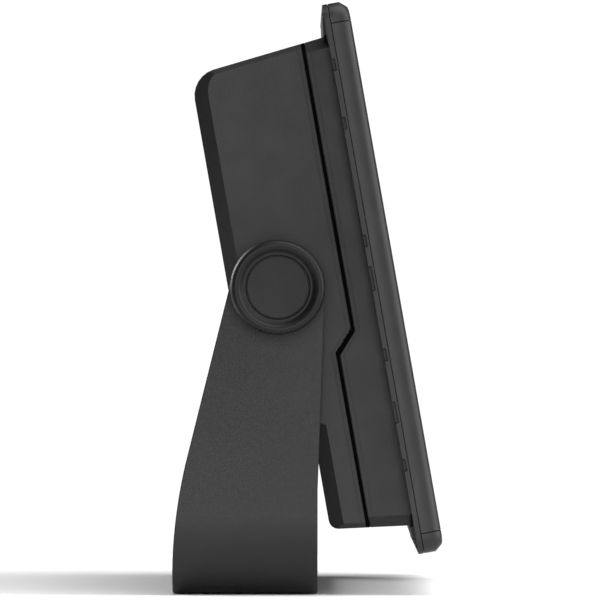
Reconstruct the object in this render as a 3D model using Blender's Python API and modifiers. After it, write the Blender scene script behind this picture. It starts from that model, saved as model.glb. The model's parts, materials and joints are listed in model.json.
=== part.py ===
"""Digital photo frame on a bail stand, as an assembly of separate parts.

Lengths are in metres, angles in degrees. The world frame has +Z up, the screen faces -Y,
and the origin is the centre of the pad under the stand.

The head is modelled in its own frame: its origin is the pivot axis, X runs along that axis,
local Y is depth behind the pivot and local Z runs up the screen. Depths in the constants are
counted back from the front face, so at_depth() turns one into a local Y.
"""

import math

import bmesh
import bpy
from mathutils import Matrix

# Clearances
GAP = 0.0003
SHAFT_PLAY = 0.00015
MERGE = 0.00001
FLAT_LIMIT = math.radians(0.05)

# Head, as a whole
LEAN_BACK = 10.0
FRONT_TO_PIVOT = 0.0450
HEAD_HALF_WIDTH = 0.159
HEAD_HEIGHT = 0.2118
HEAD_BELOW_PIVOT = 0.1091
HEAD_BOTTOM = -HEAD_BELOW_PIVOT
HEAD_TOP = HEAD_HEIGHT - HEAD_BELOW_PIVOT
CORNER_RADIUS = 0.006

# Housing, stepped in from the head's edges
HOUSING_SIDE_STEP = 0.0115
HOUSING_TOP_STEP = 0.0118
HOUSING_BOTTOM_STEP = 0.0110
HOUSING_HALF_WIDTH = HEAD_HALF_WIDTH - HOUSING_SIDE_STEP
HOUSING_TOP = HEAD_TOP - HOUSING_TOP_STEP
HOUSING_BOTTOM = HEAD_BOTTOM + HOUSING_BOTTOM_STEP
RIM_REAR = 0.0100
HOUSING_FRONT = RIM_REAR + GAP
COVER_STEP_IN = 0.0005
WALL = 0.0028
TOP_DRAFT = 6.5
BOTTOM_DRAFT = 7.4
MID_EDGE_CHAMFER = 0.0040
COVER_EDGE_CHAMFER = 0.0019

# Stand: one bent steel strip, with room for the head's lower front corner when it tilts
PIVOT_Y = -0.0126
SWING_ROOM = 0.0080
PIVOT_HEIGHT = HEAD_BELOW_PIVOT + SWING_ROOM
STRIP = 0.005
ARM_CLEARANCE = 0.002
ARM_INNER_X = HOUSING_HALF_WIDTH + ARM_CLEARANCE
BEND_RADIUS = 0.030
BASE_HALF_DEPTH = 0.0277
ARM_END_RADIUS = 0.0179
ARM_REAR_LEAN = 14.0
ARM_REAR_SWEEP = 0.200
ARM_FRONT_STRAIGHT = 0.040
PAD_END_MARGIN = 0.006
PAD_EDGE_MARGIN = 0.0002
PAD_HALF_X = ARM_INNER_X + STRIP - BEND_RADIUS - PAD_END_MARGIN
PAD_HALF_Y = BASE_HALF_DEPTH - PAD_EDGE_MARGIN
PAD_THICKNESS = 0.0014
PAD_PROUD = GAP

# Front trims
TRIM_WIDTH = 0.0077
TRIM_DEPTH = 0.0076
TRIM_WALL = 0.0024
TRIM_ROUND = 0.0024
SEAM = 0.0002
HOOK_THICK = 0.0009
HOOK_NOSE = 0.0010
HOOK_NOSE_DEPTH = 0.0008
HOOK_SHY = 0.0001
HOOK_LENGTH = 0.004

# Snap hooks of a side trim: share of the head's height below its top edge, and length
SIDE_HOOKS = (
    (0.1100, HOOK_LENGTH),
    (0.2163, HOOK_LENGTH),
    (0.4302, HOOK_LENGTH),
    (0.4986, 0.0086),
    (0.6374, HOOK_LENGTH),
    (0.7422, 0.0076),
    (0.8380, HOOK_LENGTH),
)
ACROSS_HOOKS = 5
ACROSS_HOOK_INSET = 0.039

# Front frame: the moulded ring that carries glass, screen and trims
RIM_SLOPE = 0.0014
RIM_SLOPE_INSET = 0.0010
LEDGE_DEPTH = 0.0040
SCREEN_BORDER_X = 0.025
SCREEN_BORDER_UP = 0.0195
SCREEN_HALF_X = HEAD_HALF_WIDTH - SCREEN_BORDER_X
SCREEN_HALF_UP = HEAD_HEIGHT / 2 - SCREEN_BORDER_UP
SCREEN_PLAY = 0.002

# Glass and screen stack, front to back
GLASS_DEPTH = 0.0009
GLASS_THICK = 0.0018
GLASS_CORNER_RADIUS = 0.002
TAPE_THICK = 0.0006
TAPE_WIDTH = 0.007
LCD_THICK = 0.0024
BACKLIGHT_THICK = 0.0053
CHASSIS_THICK = 0.0012

# Joint between mid body and rear cover, with a step down at the lower part
UPPER_JOINT = 0.0191
LOWER_JOINT = 0.0264
JOINT_WIDTH = 0.0013
KINK_TOP = -0.0214
KINK_BOTTOM = -0.0296
JOINT_HOLLOW_TOP = 0.021
JOINT_HOLLOW_BOTTOM = -0.017
JOINT_HOLLOW_TAPER = 0.010
JOINT_HOLLOW_WIDTH = 0.0015
JOINT_HOLLOW_DEPTH = 0.0016
SEAL_INSET = 0.0013
SEAL_EDGE_INSET = 0.0003
SEAL_WIDTH = 0.0013

# Rear cover
DEEP_REAR = 0.0638
SHALLOW_REAR = 0.0414
STEP_TOP = -0.046
STEP_BOTTOM = -0.058
REAR_TOP_RADIUS = 0.0103
REAR_BOTTOM_RADIUS = 0.0036
REAR_SIDE_CHAMFER = 0.0054

# Pivot hardware
STUD_RADIUS = 0.003
INSERT_WALL = 0.002
INSERT_RADIUS = STUD_RADIUS + INSERT_WALL
INSERT_LENGTH = 0.010
BOSS_WALL = 0.004
BOSS_RADIUS = INSERT_RADIUS + BOSS_WALL
BUSH_WALL = 0.001
BUSH_FLANGE_RADIUS = 0.009
BUSH_FLANGE = 0.0008
FRICTION_WASHER_RADIUS = 0.015
OUTER_WASHER_RADIUS = 0.013
OUTER_WASHER = 0.0012

# Knob: its rings are stepped in from its edge, its recess down from its crest
KNOB_RADIUS = 0.01805
KNOB_HEIGHT = 0.0138
KNOB_CREST_STEP = 0.00195
KNOB_GROOVE_STEP = 0.00305
KNOB_GROOVE_WIDTH = 0.0013
KNOB_RECESS_STEP = 0.00605
KNOB_RECESS_DEPTH = 0.0030
KNOB_CREST_RADIUS = KNOB_RADIUS - KNOB_CREST_STEP
KNOB_GROOVE_OUTER = KNOB_RADIUS - KNOB_GROOVE_STEP
KNOB_GROOVE_INNER = KNOB_GROOVE_OUTER - KNOB_GROOVE_WIDTH
KNOB_RECESS_RADIUS = KNOB_RADIUS - KNOB_RECESS_STEP
KNOB_RECESS_HEIGHT = KNOB_HEIGHT - KNOB_RECESS_DEPTH
STUD_HEAD_RADIUS = 2 * STUD_RADIUS
STUD_HEAD = 0.0034
CAP_THICK = 0.0008

# Cover screws: places inside the housing's edges, then sizes
SCREW_SIDE_INSET = 0.009
SCREW_TOP_INSET = 0.0229
SCREW_BOTTOM_INSET = 0.012
SCREW_X = HOUSING_HALF_WIDTH - SCREW_SIDE_INSET
SCREW_UPPER = HOUSING_TOP - SCREW_TOP_INSET
SCREW_LOWER = HOUSING_BOTTOM + SCREW_BOTTOM_INSET
SCREW_RADIUS = 0.0014
SCREW_HEAD_RADIUS = 2 * SCREW_RADIUS
SCREW_HEAD = 0.0022
SCREW_PLAY = 0.0003
SCREW_BOSS_WALL = 0.0015
SCREW_BOSS_RADIUS = SCREW_HEAD_RADIUS + SCREW_PLAY + SCREW_BOSS_WALL
SCREW_TIP_DEPTH = 0.0060
SCREW_FLOOR = 0.004

# Main board
BOARD_DEPTH = 0.0278
BOARD_THICK = 0.0016
BOARD_START_X = 0.008
BOARD_SIDE_INSET = 0.0155
BOARD_TOP_INSET = 0.0179
BOARD_BOTTOM_INSET = 0.014
BOARD_X = (BOARD_START_X, HOUSING_HALF_WIDTH - BOARD_SIDE_INSET)
BOARD_UP = (HOUSING_BOTTOM + BOARD_BOTTOM_INSET, HOUSING_TOP - BOARD_TOP_INSET)
BOARD_SCREW_INSET = 0.006
BOARD_SCREW_RADIUS = 0.0012
BOARD_POST_RADIUS = 0.003

# Processor and heat sink
CHIP = 0.022
CHIP_THICK = 0.0012
PAD_SHEET = 0.0005
SINK_SIZE = 0.044
SINK_BASE = 0.003
SINK_HEIGHT = 0.016
SINK_FINS = 7
SINK_FIN = 0.0016
CHIP_SIDE_INSET = 0.062
CHIP_UP = 0.016
CHIP_AT = (BOARD_X[1] - CHIP_SIDE_INSET, CHIP_UP)

# Speakers and their slots
SPEAKER = (0.034, 0.018, 0.0070)
SPEAKER_SIDE_INSET = 0.0475
SPEAKER_BOTTOM_INSET = 0.022
SPEAKER_X = HOUSING_HALF_WIDTH - SPEAKER_SIDE_INSET
SPEAKER_UP = HOUSING_BOTTOM + SPEAKER_BOTTOM_INSET
GRILLE_SLOTS = 5
GRILLE_SLOT = 0.0022
GRILLE_PITCH = 0.0055
GRILLE_LENGTH = 0.012

# Sockets on the shallow rear face
SOCKET_INSET = 0.022
SOCKET_PITCH = 0.018
SOCKET_BOTTOM_INSET = 0.024
SOCKET_UP = HOUSING_BOTTOM + SOCKET_BOTTOM_INSET
USB_AT = (BOARD_START_X + SOCKET_INSET, SOCKET_UP)
USB_SIZE = (0.0141, 0.0068)
USB_SHELL = 0.0005
USB_TONGUE = (0.0110, 0.0018)
USB_TONGUE_RISE = 0.0010
DC_AT = (USB_AT[0] + SOCKET_PITCH, SOCKET_UP)
DC_RADIUS = 0.0052
DC_BORE = 0.0031
DC_PIN = 0.0010
RIBBON_WIDTH = 0.030
RIBBON_THICK = 0.0004

# Memory card and its socket
CARD = (0.032, 0.0021, 0.024)
CARD_UP = 0.0480
CARD_PROUD = 0.0012
CARD_SHELL = 0.0006

# Keys on the deep rear face
KEY_TOP_INSET = 0.0249
KEY_UP = HOUSING_TOP - KEY_TOP_INSET
KEY_PITCH = 0.017
POWER_X = -SPEAKER_X
POWER_RADIUS = 0.0048
KEY_SIZE = (0.011, 0.0075)
KEY_ROW_MARGIN = 0.0045
KEY_RECESS = 0.0010
KEY_FLANGE = 0.0012
KEY_FLANGE_LIP = 0.0012
KEY_TRAVEL = 0.0010
SWITCH_SIZE = 0.006
SWITCH_HEIGHT = 0.0018
KEY_BOARD_THICK = 0.0016
KEY_BOARD_MARGIN = 0.0102

# Vents on the deep rear face, behind the heat sink
VENT_SLOTS = 9
VENT_SLOT = 0.003
VENT_PITCH = 0.007
VENT_LENGTH = 0.040
VENT_RISE = 0.002
VENT_AT = (CHIP_AT[0], CHIP_UP + VENT_RISE)

ROUND_STEPS = 32
BEND_STEPS = 14
SMALL_STEPS = 16
ARC_STEPS = 6

FINISHES = {
    "powder_coat": ((0.060, 0.061, 0.064), 0.55, 0.3),
    "housing_plastic": ((0.050, 0.051, 0.054), 0.60, 0.0),
    "painted_aluminium": ((0.050, 0.051, 0.054), 0.60, 0.0),
    "trim_plastic": ((0.058, 0.059, 0.062), 0.50, 0.0),
    "knob_plastic": ((0.045, 0.046, 0.048), 0.55, 0.0),
    "key_plastic": ((0.100, 0.102, 0.106), 0.50, 0.0),
    "rubber": ((0.015, 0.015, 0.016), 0.85, 0.0),
    "steel": ((0.560, 0.570, 0.580), 0.30, 1.0),
    "brass": ((0.720, 0.540, 0.260), 0.30, 1.0),
    "aluminium": ((0.700, 0.710, 0.720), 0.40, 1.0),
    "nylon": ((0.800, 0.790, 0.750), 0.50, 0.0),
    "glass": ((0.020, 0.021, 0.024), 0.05, 0.0),
    "lcd": ((0.030, 0.032, 0.040), 0.15, 0.0),
    "diffuser": ((0.820, 0.820, 0.800), 0.40, 0.0),
    "circuit_board": ((0.020, 0.140, 0.060), 0.45, 0.0),
    "dark_plastic": ((0.020, 0.020, 0.022), 0.50, 0.0),
    "ribbon": ((0.550, 0.330, 0.080), 0.40, 0.0),
    "card_plastic": ((0.060, 0.080, 0.140), 0.40, 0.0),
}


# ---------------------------------------------------------------- scene and materials


def clear_scene():
    for thing in list(bpy.data.objects):
        bpy.data.objects.remove(thing, do_unlink=True)


def new_collection(name):
    collection = bpy.data.collections.new(name)
    bpy.context.scene.collection.children.link(collection)
    return collection


def new_empty(name, location, lean):
    empty = bpy.data.objects.new(name, None)
    empty.location = location
    empty.rotation_euler = (math.radians(-lean), 0.0, 0.0)
    PARTS.objects.link(empty)
    return empty


def material_for(node, finish):
    colour, roughness, metallic = FINISHES[finish]
    material = bpy.data.materials.new(node)
    material.use_nodes = True
    shader = material.node_tree.nodes["Principled BSDF"]
    shader.inputs["Base Color"].default_value = (*colour, 1.0)
    shader.inputs["Roughness"].default_value = roughness
    shader.inputs["Metallic"].default_value = metallic
    return material


def add_part(name, mesh, finish, parent=None, location=(0.0, 0.0, 0.0)):
    part = bpy.data.objects.new(name, mesh)
    part.location = location
    part.parent = parent
    mesh.name = name
    mesh.materials.clear()
    mesh.materials.append(material_for(name, finish))
    PARTS.objects.link(part)
    return part


def add_cutter(mesh, parent=None, location=(0.0, 0.0, 0.0)):
    cutter = bpy.data.objects.new("cutter", mesh)
    cutter.location = location
    cutter.parent = parent
    cutter.display_type = "WIRE"
    cutter.hide_render = True
    CUTTERS.objects.link(cutter)
    return cutter


def combine(part, tool_mesh, operation, location=(0.0, 0.0, 0.0)):
    """Cut, join or intersect a part with a mesh given in the frame of the part's parent."""
    modifier = part.modifiers.new(operation.lower(), "BOOLEAN")
    modifier.operation = operation
    modifier.solver = "EXACT"
    modifier.object = add_cutter(tool_mesh, part.parent, location)


def cut(part, tool_mesh, location=(0.0, 0.0, 0.0)):
    combine(part, tool_mesh, "DIFFERENCE", location)


def join(part, tool_mesh, location=(0.0, 0.0, 0.0)):
    combine(part, tool_mesh, "UNION", location)


# ---------------------------------------------------------------- shapes


def at_depth(depth):
    return depth - FRONT_TO_PIVOT


def from_bmesh(shape):
    mesh = bpy.data.meshes.new("shape")
    shape.to_mesh(mesh)
    shape.free()
    return mesh


def block(low, high):
    """A box between two corners."""
    shape = bmesh.new()
    size = [b - a for a, b in zip(low, high)]
    centre = [(a + b) / 2 for a, b in zip(low, high)]
    matrix = Matrix.Translation(centre) @ Matrix.Diagonal((*size, 1.0))
    bmesh.ops.create_cube(shape, size=1.0, matrix=matrix)
    return from_bmesh(shape)


AXIS_TURN = {
    "X": Matrix.Rotation(math.radians(90.0), 4, "Y"),
    "Y": Matrix.Rotation(math.radians(-90.0), 4, "X"),
}


def cylinder(radius, start, end, axis, steps=ROUND_STEPS):
    """A cylinder between two places along an axis through the origin."""
    shape = bmesh.new()
    bmesh.ops.create_cone(
        shape, cap_ends=True, segments=steps, radius1=radius, radius2=radius, depth=end - start
    )
    slide = Matrix.Translation((0.0, 0.0, (start + end) / 2))
    bmesh.ops.transform(shape, matrix=AXIS_TURN[axis] @ slide, verts=shape.verts)
    return from_bmesh(shape)


def oval_arc(centre, radii, start, end, steps=ARC_STEPS):
    """Points along an arc with its own radius in each direction, angles in degrees."""
    points = []
    for index in range(steps + 1):
        angle = math.radians(start + (end - start) * index / steps)
        points.append(
            (centre[0] + radii[0] * math.cos(angle), centre[1] + radii[1] * math.sin(angle))
        )
    return points


def arc(centre, radius, start, end, steps=ARC_STEPS):
    return oval_arc(centre, (radius, radius), start, end, steps)


def rounded_outline(half_x, low, high, radius):
    """A rectangle with round corners, anticlockwise from its lower right corner."""
    inner_x = half_x - radius
    return (
        arc((inner_x, low + radius), radius, -90.0, 0.0)
        + arc((inner_x, high - radius), radius, 0.0, 90.0)
        + arc((-inner_x, high - radius), radius, 90.0, 180.0)
        + arc((-inner_x, low + radius), radius, 180.0, 270.0)
    )


def flat_mesh(loops, thickness):
    """A flat plate from an outline and any holes, as a filled 2D curve turned into a mesh."""
    curve = bpy.data.curves.new("outline", "CURVE")
    curve.dimensions = "2D"
    curve.fill_mode = "BOTH"
    curve.extrude = thickness / 2
    for loop in loops:
        spline = curve.splines.new("POLY")
        spline.points.add(len(loop) - 1)
        for point, place in zip(spline.points, loop):
            point.co = (*place, 0.0, 1.0)
        spline.use_cyclic_u = True
    holder = bpy.data.objects.new("outline", curve)
    bpy.context.scene.collection.objects.link(holder)
    graph = bpy.context.evaluated_depsgraph_get()
    mesh = bpy.data.meshes.new_from_object(holder.evaluated_get(graph))
    mesh.transform(holder.matrix_world)
    bpy.data.objects.remove(holder, do_unlink=True)
    shape = bmesh.new()
    shape.from_mesh(mesh)
    bmesh.ops.remove_doubles(shape, verts=shape.verts, dist=MERGE)
    bmesh.ops.dissolve_limit(
        shape, angle_limit=math.radians(0.5), verts=shape.verts, edges=shape.edges
    )
    bmesh.ops.recalc_face_normals(shape, faces=shape.faces)
    bpy.data.meshes.remove(mesh)
    return from_bmesh(shape)


SIDE_VIEW = Matrix(((0, 0, 1, 0), (1, 0, 0, 0), (0, 1, 0, 0), (0, 0, 0, 1)))
FRONT_VIEW = Matrix(((1, 0, 0, 0), (0, 0, -1, 0), (0, 1, 0, 0), (0, 0, 0, 1)))


def side_prism(outline, half_width):
    """An outline in the Y-Z plane, drawn out along X to both sides."""
    mesh = flat_mesh([outline], 2 * half_width)
    mesh.transform(SIDE_VIEW)
    return mesh


def chamfered_prism(outline, inner, half_width):
    """A side prism with cut-off edges: inner is the outline of its two flat sides."""
    shape = bmesh.new()
    rows = []
    for (y, z), (inner_y, inner_z) in zip(outline, inner):
        reach = half_width - max(abs(y - inner_y), abs(z - inner_z))
        places = (
            (-half_width, inner_y, inner_z),
            (-reach, y, z),
            (reach, y, z),
            (half_width, inner_y, inner_z),
        )
        rows.append([shape.verts.new(place) for place in places])
    for row, after in zip(rows, rows[1:] + rows[:1]):
        for index in range(len(row) - 1):
            shape.faces.new((row[index], row[index + 1], after[index + 1], after[index]))
    shape.faces.new([row[0] for row in rows])
    shape.faces.new([row[-1] for row in rows])
    bmesh.ops.remove_doubles(shape, verts=shape.verts, dist=MERGE)
    bmesh.ops.connect_verts_nonplanar(shape, angle_limit=FLAT_LIMIT, faces=shape.faces)
    bmesh.ops.recalc_face_normals(shape, faces=shape.faces)
    mesh = bpy.data.meshes.new("chamfered prism")
    shape.to_mesh(mesh)
    shape.free()
    return mesh


def front_plate(loops, front_y, rear_y):
    """Outlines in the X-Z plane, as a plate between two places in Y."""
    mesh = flat_mesh(loops, rear_y - front_y)
    mesh.transform(Matrix.Translation((0.0, (front_y + rear_y) / 2, 0.0)) @ FRONT_VIEW)
    return mesh


def round_edges(mesh, pick, width, segments=3):
    """Round the edges whose two end points satisfy pick."""
    shape = bmesh.new()
    shape.from_mesh(mesh)
    edges = [edge for edge in shape.edges if pick(edge.verts[0].co, edge.verts[1].co)]
    bmesh.ops.bevel(
        shape,
        geom=edges,
        offset=width,
        offset_type="OFFSET",
        segments=segments,
        profile=0.5,
        affect="EDGES",
        clamp_overlap=True,
    )
    shape.to_mesh(mesh)
    shape.free()
    return mesh


def turned(name, profile, finish, parent, side, steps=ROUND_STEPS):
    """A turned part about the X axis. Profile: radius and distance outward, outer side first."""
    mesh = bpy.data.meshes.new(name)
    points = [(radius, 0.0, -out) for radius, out in profile]
    closed = profile[0] == profile[-1]
    if closed:
        points = points[:-1]
    count = len(points)
    edges = [(index, index + 1) for index in range(count - 1)]
    if closed:
        edges.append((count - 1, 0))
    mesh.from_pydata(points, edges, [])
    part = add_part(name, mesh, finish, parent)
    part.rotation_euler = (0.0, math.radians(-90.0 * side), 0.0)
    screw = part.modifiers.new("turn", "SCREW")
    screw.axis = "Z"
    screw.steps = steps
    screw.render_steps = steps
    screw.use_merge_vertices = True
    screw.merge_threshold = MERGE
    return part


def ring(name, inner, outer, start, end, finish, parent, side, steps=ROUND_STEPS):
    """A plain ring about the pivot axis, from start to end outward."""
    profile = [(outer, start), (outer, end), (inner, end), (inner, start), (outer, start)]
    return turned(name, profile, finish, parent, side, steps)


def top_at(depth):
    return HOUSING_TOP - (depth - HOUSING_FRONT) * math.tan(math.radians(TOP_DRAFT))


def bottom_at(depth):
    return HOUSING_BOTTOM + (depth - HOUSING_FRONT) * math.tan(math.radians(BOTTOM_DRAFT))


def in_head(outline):
    """Turns (depth, up) points into the head's own Y and Z."""
    return [(at_depth(depth), up) for depth, up in outline]


def sides():
    return (("left", -1), ("right", 1))


# ---------------------------------------------------------------- stand


def arm_outline():
    """The strip's outline seen from the side: base, swept rear edge, round end at the pivot."""
    lean = math.radians(ARM_REAR_LEAN)
    pivot = (PIVOT_Y, PIVOT_HEIGHT)
    rear_touch = (
        PIVOT_Y + ARM_END_RADIUS * math.cos(lean),
        PIVOT_HEIGHT + ARM_END_RADIUS * math.sin(lean),
    )
    corner_z = rear_touch[1] - (BASE_HALF_DEPTH - rear_touch[0]) / math.tan(lean)
    sweep_z = corner_z - ARM_REAR_SWEEP * math.tan(lean / 2)
    centre = (BASE_HALF_DEPTH - ARM_REAR_SWEEP, sweep_z)
    sweep = arc(centre, ARM_REAR_SWEEP, 0.0, ARM_REAR_LEAN, BEND_STEPS)
    front_slope = math.atan2(
        ARM_END_RADIUS - (BASE_HALF_DEPTH + PIVOT_Y), PIVOT_HEIGHT - ARM_FRONT_STRAIGHT
    )
    end = arc(pivot, ARM_END_RADIUS, ARM_REAR_LEAN, 180.0 + math.degrees(front_slope), BEND_STEPS)
    foot = [(-BASE_HALF_DEPTH, ARM_FRONT_STRAIGHT), (-BASE_HALF_DEPTH, -STRIP)]
    return foot + [(BASE_HALF_DEPTH, -STRIP)] + sweep + end


def make_stand():
    outer_x = ARM_INNER_X + STRIP
    under = PAD_PROUD
    top = PIVOT_HEIGHT + ARM_END_RADIUS + STRIP
    bend_x = outer_x - BEND_RADIUS
    bend_z = under + BEND_RADIUS
    inner_radius = BEND_RADIUS - STRIP
    outline = (
        [(-outer_x, top)]
        + arc((-bend_x, bend_z), BEND_RADIUS, 180.0, 270.0, BEND_STEPS)
        + arc((bend_x, bend_z), BEND_RADIUS, 270.0, 360.0, BEND_STEPS)
        + [(outer_x, top), (ARM_INNER_X, top)]
        + arc((bend_x, bend_z), inner_radius, 360.0, 270.0, BEND_STEPS)
        + arc((-bend_x, bend_z), inner_radius, 270.0, 180.0, BEND_STEPS)
        + [(-ARM_INNER_X, top)]
    )
    reach = BASE_HALF_DEPTH + ARM_END_RADIUS
    stand = add_part("bail_stand", front_plate([outline], -reach, reach), "powder_coat")
    combine(stand, side_prism(arm_outline(), outer_x + STRIP), "INTERSECT")
    hole_radius = STUD_RADIUS + SHAFT_PLAY + BUSH_WALL + SHAFT_PLAY
    hole = cylinder(hole_radius, -outer_x - STRIP, outer_x + STRIP, "X")
    cut(stand, hole, (0.0, PIVOT_Y, PIVOT_HEIGHT))
    recess = PAD_THICKNESS + GAP
    pocket_x = PAD_HALF_X + GAP
    cut(stand, block((-pocket_x, -reach, -STRIP), (pocket_x, reach, recess)))
    pad = block((-PAD_HALF_X, -PAD_HALF_Y, 0.0), (PAD_HALF_X, PAD_HALF_Y, PAD_THICKNESS))
    add_part("base_pad", pad, "rubber")


def make_arm_bushes(stand_axis):
    inner = STUD_RADIUS + SHAFT_PLAY
    outer = inner + BUSH_WALL
    arm_outer = ARM_INNER_X + STRIP
    flange_inner = arm_outer + GAP
    flange_outer = flange_inner + BUSH_FLANGE
    profile = [
        (BUSH_FLANGE_RADIUS, flange_inner),
        (BUSH_FLANGE_RADIUS, flange_outer),
        (inner, flange_outer),
        (inner, ARM_INNER_X),
        (outer, ARM_INNER_X),
        (outer, flange_inner),
        (BUSH_FLANGE_RADIUS, flange_inner),
    ]
    for word, side in sides():
        turned("arm_bush_" + word, profile, "nylon", stand_axis, side)


# ---------------------------------------------------------------- clamp knobs


def knob_seat():
    """Distance from the middle to the knob's inner face."""
    bush_face = ARM_INNER_X + STRIP + GAP + BUSH_FLANGE
    return bush_face + GAP + OUTER_WASHER + GAP


def make_knobs(head):
    seat = knob_seat()
    bore = STUD_RADIUS + SHAFT_PLAY
    head_floor = seat + KNOB_RECESS_HEIGHT - STUD_HEAD - 2 * GAP
    recess_floor = seat + KNOB_RECESS_HEIGHT
    profile = [
        (KNOB_RADIUS - 0.0008, seat),
        (KNOB_RADIUS, seat + 0.0010),
        (KNOB_RADIUS, seat + KNOB_HEIGHT - 0.0026),
        (KNOB_RADIUS - 0.0006, seat + KNOB_HEIGHT - 0.0009),
        (KNOB_CREST_RADIUS, seat + KNOB_HEIGHT),
        (KNOB_GROOVE_OUTER, seat + KNOB_HEIGHT - 0.0006),
        (KNOB_GROOVE_OUTER - 0.0003, seat + KNOB_HEIGHT - 0.0022),
        (KNOB_GROOVE_INNER, seat + KNOB_HEIGHT - 0.0022),
        (KNOB_GROOVE_INNER - 0.0003, seat + KNOB_HEIGHT - 0.0010),
        (KNOB_RECESS_RADIUS, seat + KNOB_HEIGHT - 0.0014),
        (KNOB_RECESS_RADIUS, recess_floor),
        (STUD_HEAD_RADIUS + GAP, recess_floor),
        (STUD_HEAD_RADIUS + GAP, head_floor),
        (bore, head_floor),
        (bore, seat),
        (KNOB_RADIUS - 0.0008, seat),
    ]
    cap_low = recess_floor + GAP
    cap = [
        (KNOB_RECESS_RADIUS - GAP, cap_low),
        (KNOB_RECESS_RADIUS - GAP, cap_low + CAP_THICK),
        (0.0, cap_low + CAP_THICK - 0.0003),
        (0.0, cap_low),
    ]
    cap.append(cap[0])
    tip = ARM_INNER_X - INSERT_LENGTH
    stud_head_low = head_floor + GAP
    for word, side in sides():
        turned("knob_" + word, profile, "knob_plastic", head, side, 40)
        turned("knob_cap_" + word, cap, "knob_plastic", head, side)
        low, high = sorted((side * tip, side * (stud_head_low + GAP)))
        stud = add_part(
            "knob_stud_" + word, cylinder(STUD_RADIUS, low, high, "X"), "steel", head
        )
        low, high = sorted((side * stud_head_low, side * (stud_head_low + STUD_HEAD)))
        join(stud, cylinder(STUD_HEAD_RADIUS, low, high, "X", 6))
        washer_low = seat - GAP - OUTER_WASHER
        ring(
            "outer_washer_" + word,
            STUD_RADIUS + GAP,
            OUTER_WASHER_RADIUS,
            washer_low,
            washer_low + OUTER_WASHER,
            "steel",
            head,
            side,
        )


def make_pivot_inserts(head):
    cover_side = HOUSING_HALF_WIDTH - COVER_STEP_IN
    for word, side in sides():
        ring(
            "threaded_insert_" + word,
            STUD_RADIUS + SHAFT_PLAY,
            INSERT_RADIUS,
            cover_side - INSERT_LENGTH,
            cover_side,
            "brass",
            head,
            side,
        )
        ring(
            "friction_washer_" + word,
            STUD_RADIUS + GAP,
            FRICTION_WASHER_RADIUS,
            cover_side + GAP,
            ARM_INNER_X - GAP,
            "rubber",
            head,
            side,
        )


# ---------------------------------------------------------------- front trims and frame


def hook_blocks(centre, length, place, play=0.0):
    """A snap hook's tongue and nose as boxes, or with some play the openings they pass through."""
    tongue = (TRIM_WALL - HOOK_THICK - play, TRIM_WALL + play)
    nose = (TRIM_WALL - HOOK_THICK - HOOK_NOSE - 4 * play, TRIM_WALL - HOOK_THICK / 2)
    end = RIM_REAR - HOOK_SHY + 10 * play
    tongue_depth = (TRIM_DEPTH - 2 * GAP - play, end)
    nose_depth = (RIM_REAR - HOOK_SHY - HOOK_NOSE_DEPTH - play, end)
    run = (centre - length / 2 - play, centre + length / 2 + play)
    return (
        inset_block(tongue, tongue_depth, run, place),
        inset_block(nose, nose_depth, run, place),
    )


def inset_block(inset, depths, run, place):
    """A box given by its inset from one edge of the head: left, right, top or bottom."""
    near, far = inset
    y = (at_depth(depths[0]), at_depth(depths[1]))
    if place == "right":
        return block(
            (HEAD_HALF_WIDTH - far, y[0], run[0]), (HEAD_HALF_WIDTH - near, y[1], run[1])
        )
    if place == "left":
        return block(
            (near - HEAD_HALF_WIDTH, y[0], run[0]), (far - HEAD_HALF_WIDTH, y[1], run[1])
        )
    if place == "top":
        return block((run[0], y[0], HEAD_TOP - far), (run[1], y[1], HEAD_TOP - near))
    return block((run[0], y[0], HEAD_BOTTOM + near), (run[1], y[1], HEAD_BOTTOM + far))


def hooks_on(place):
    """Middle and length of each hook along one edge of the head."""
    if place in ("left", "right"):
        return [(HEAD_TOP - share * HEAD_HEIGHT, length) for share, length in SIDE_HOOKS]
    first = ACROSS_HOOK_INSET - HEAD_HALF_WIDTH
    pitch = -2 * first / (ACROSS_HOOKS - 1)
    return [(first + index * pitch, HOOK_LENGTH) for index in range(ACROSS_HOOKS)]


def add_hooks(trim, place):
    for centre, length in hooks_on(place):
        for piece in hook_blocks(centre, length, place):
            join(trim, piece)


def end_trim_outline(place):
    """A bar across the head's full width with the head's two round corners."""
    x = HEAD_HALF_WIDTH - CORNER_RADIUS
    if place == "top":
        edge = HEAD_TOP - CORNER_RADIUS
        seam = HEAD_TOP - TRIM_WIDTH + SEAM
        corners = arc((x, edge), CORNER_RADIUS, 0.0, 90.0)
        corners += arc((-x, edge), CORNER_RADIUS, 90.0, 180.0)
        return corners + [(-HEAD_HALF_WIDTH, seam), (HEAD_HALF_WIDTH, seam)]
    edge = HEAD_BOTTOM + CORNER_RADIUS
    seam = HEAD_BOTTOM + TRIM_WIDTH - SEAM
    corners = arc((-x, edge), CORNER_RADIUS, 180.0, 270.0)
    corners += arc((x, edge), CORNER_RADIUS, 270.0, 360.0)
    return corners + [(HEAD_HALF_WIDTH, seam), (-HEAD_HALF_WIDTH, seam)]


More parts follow.
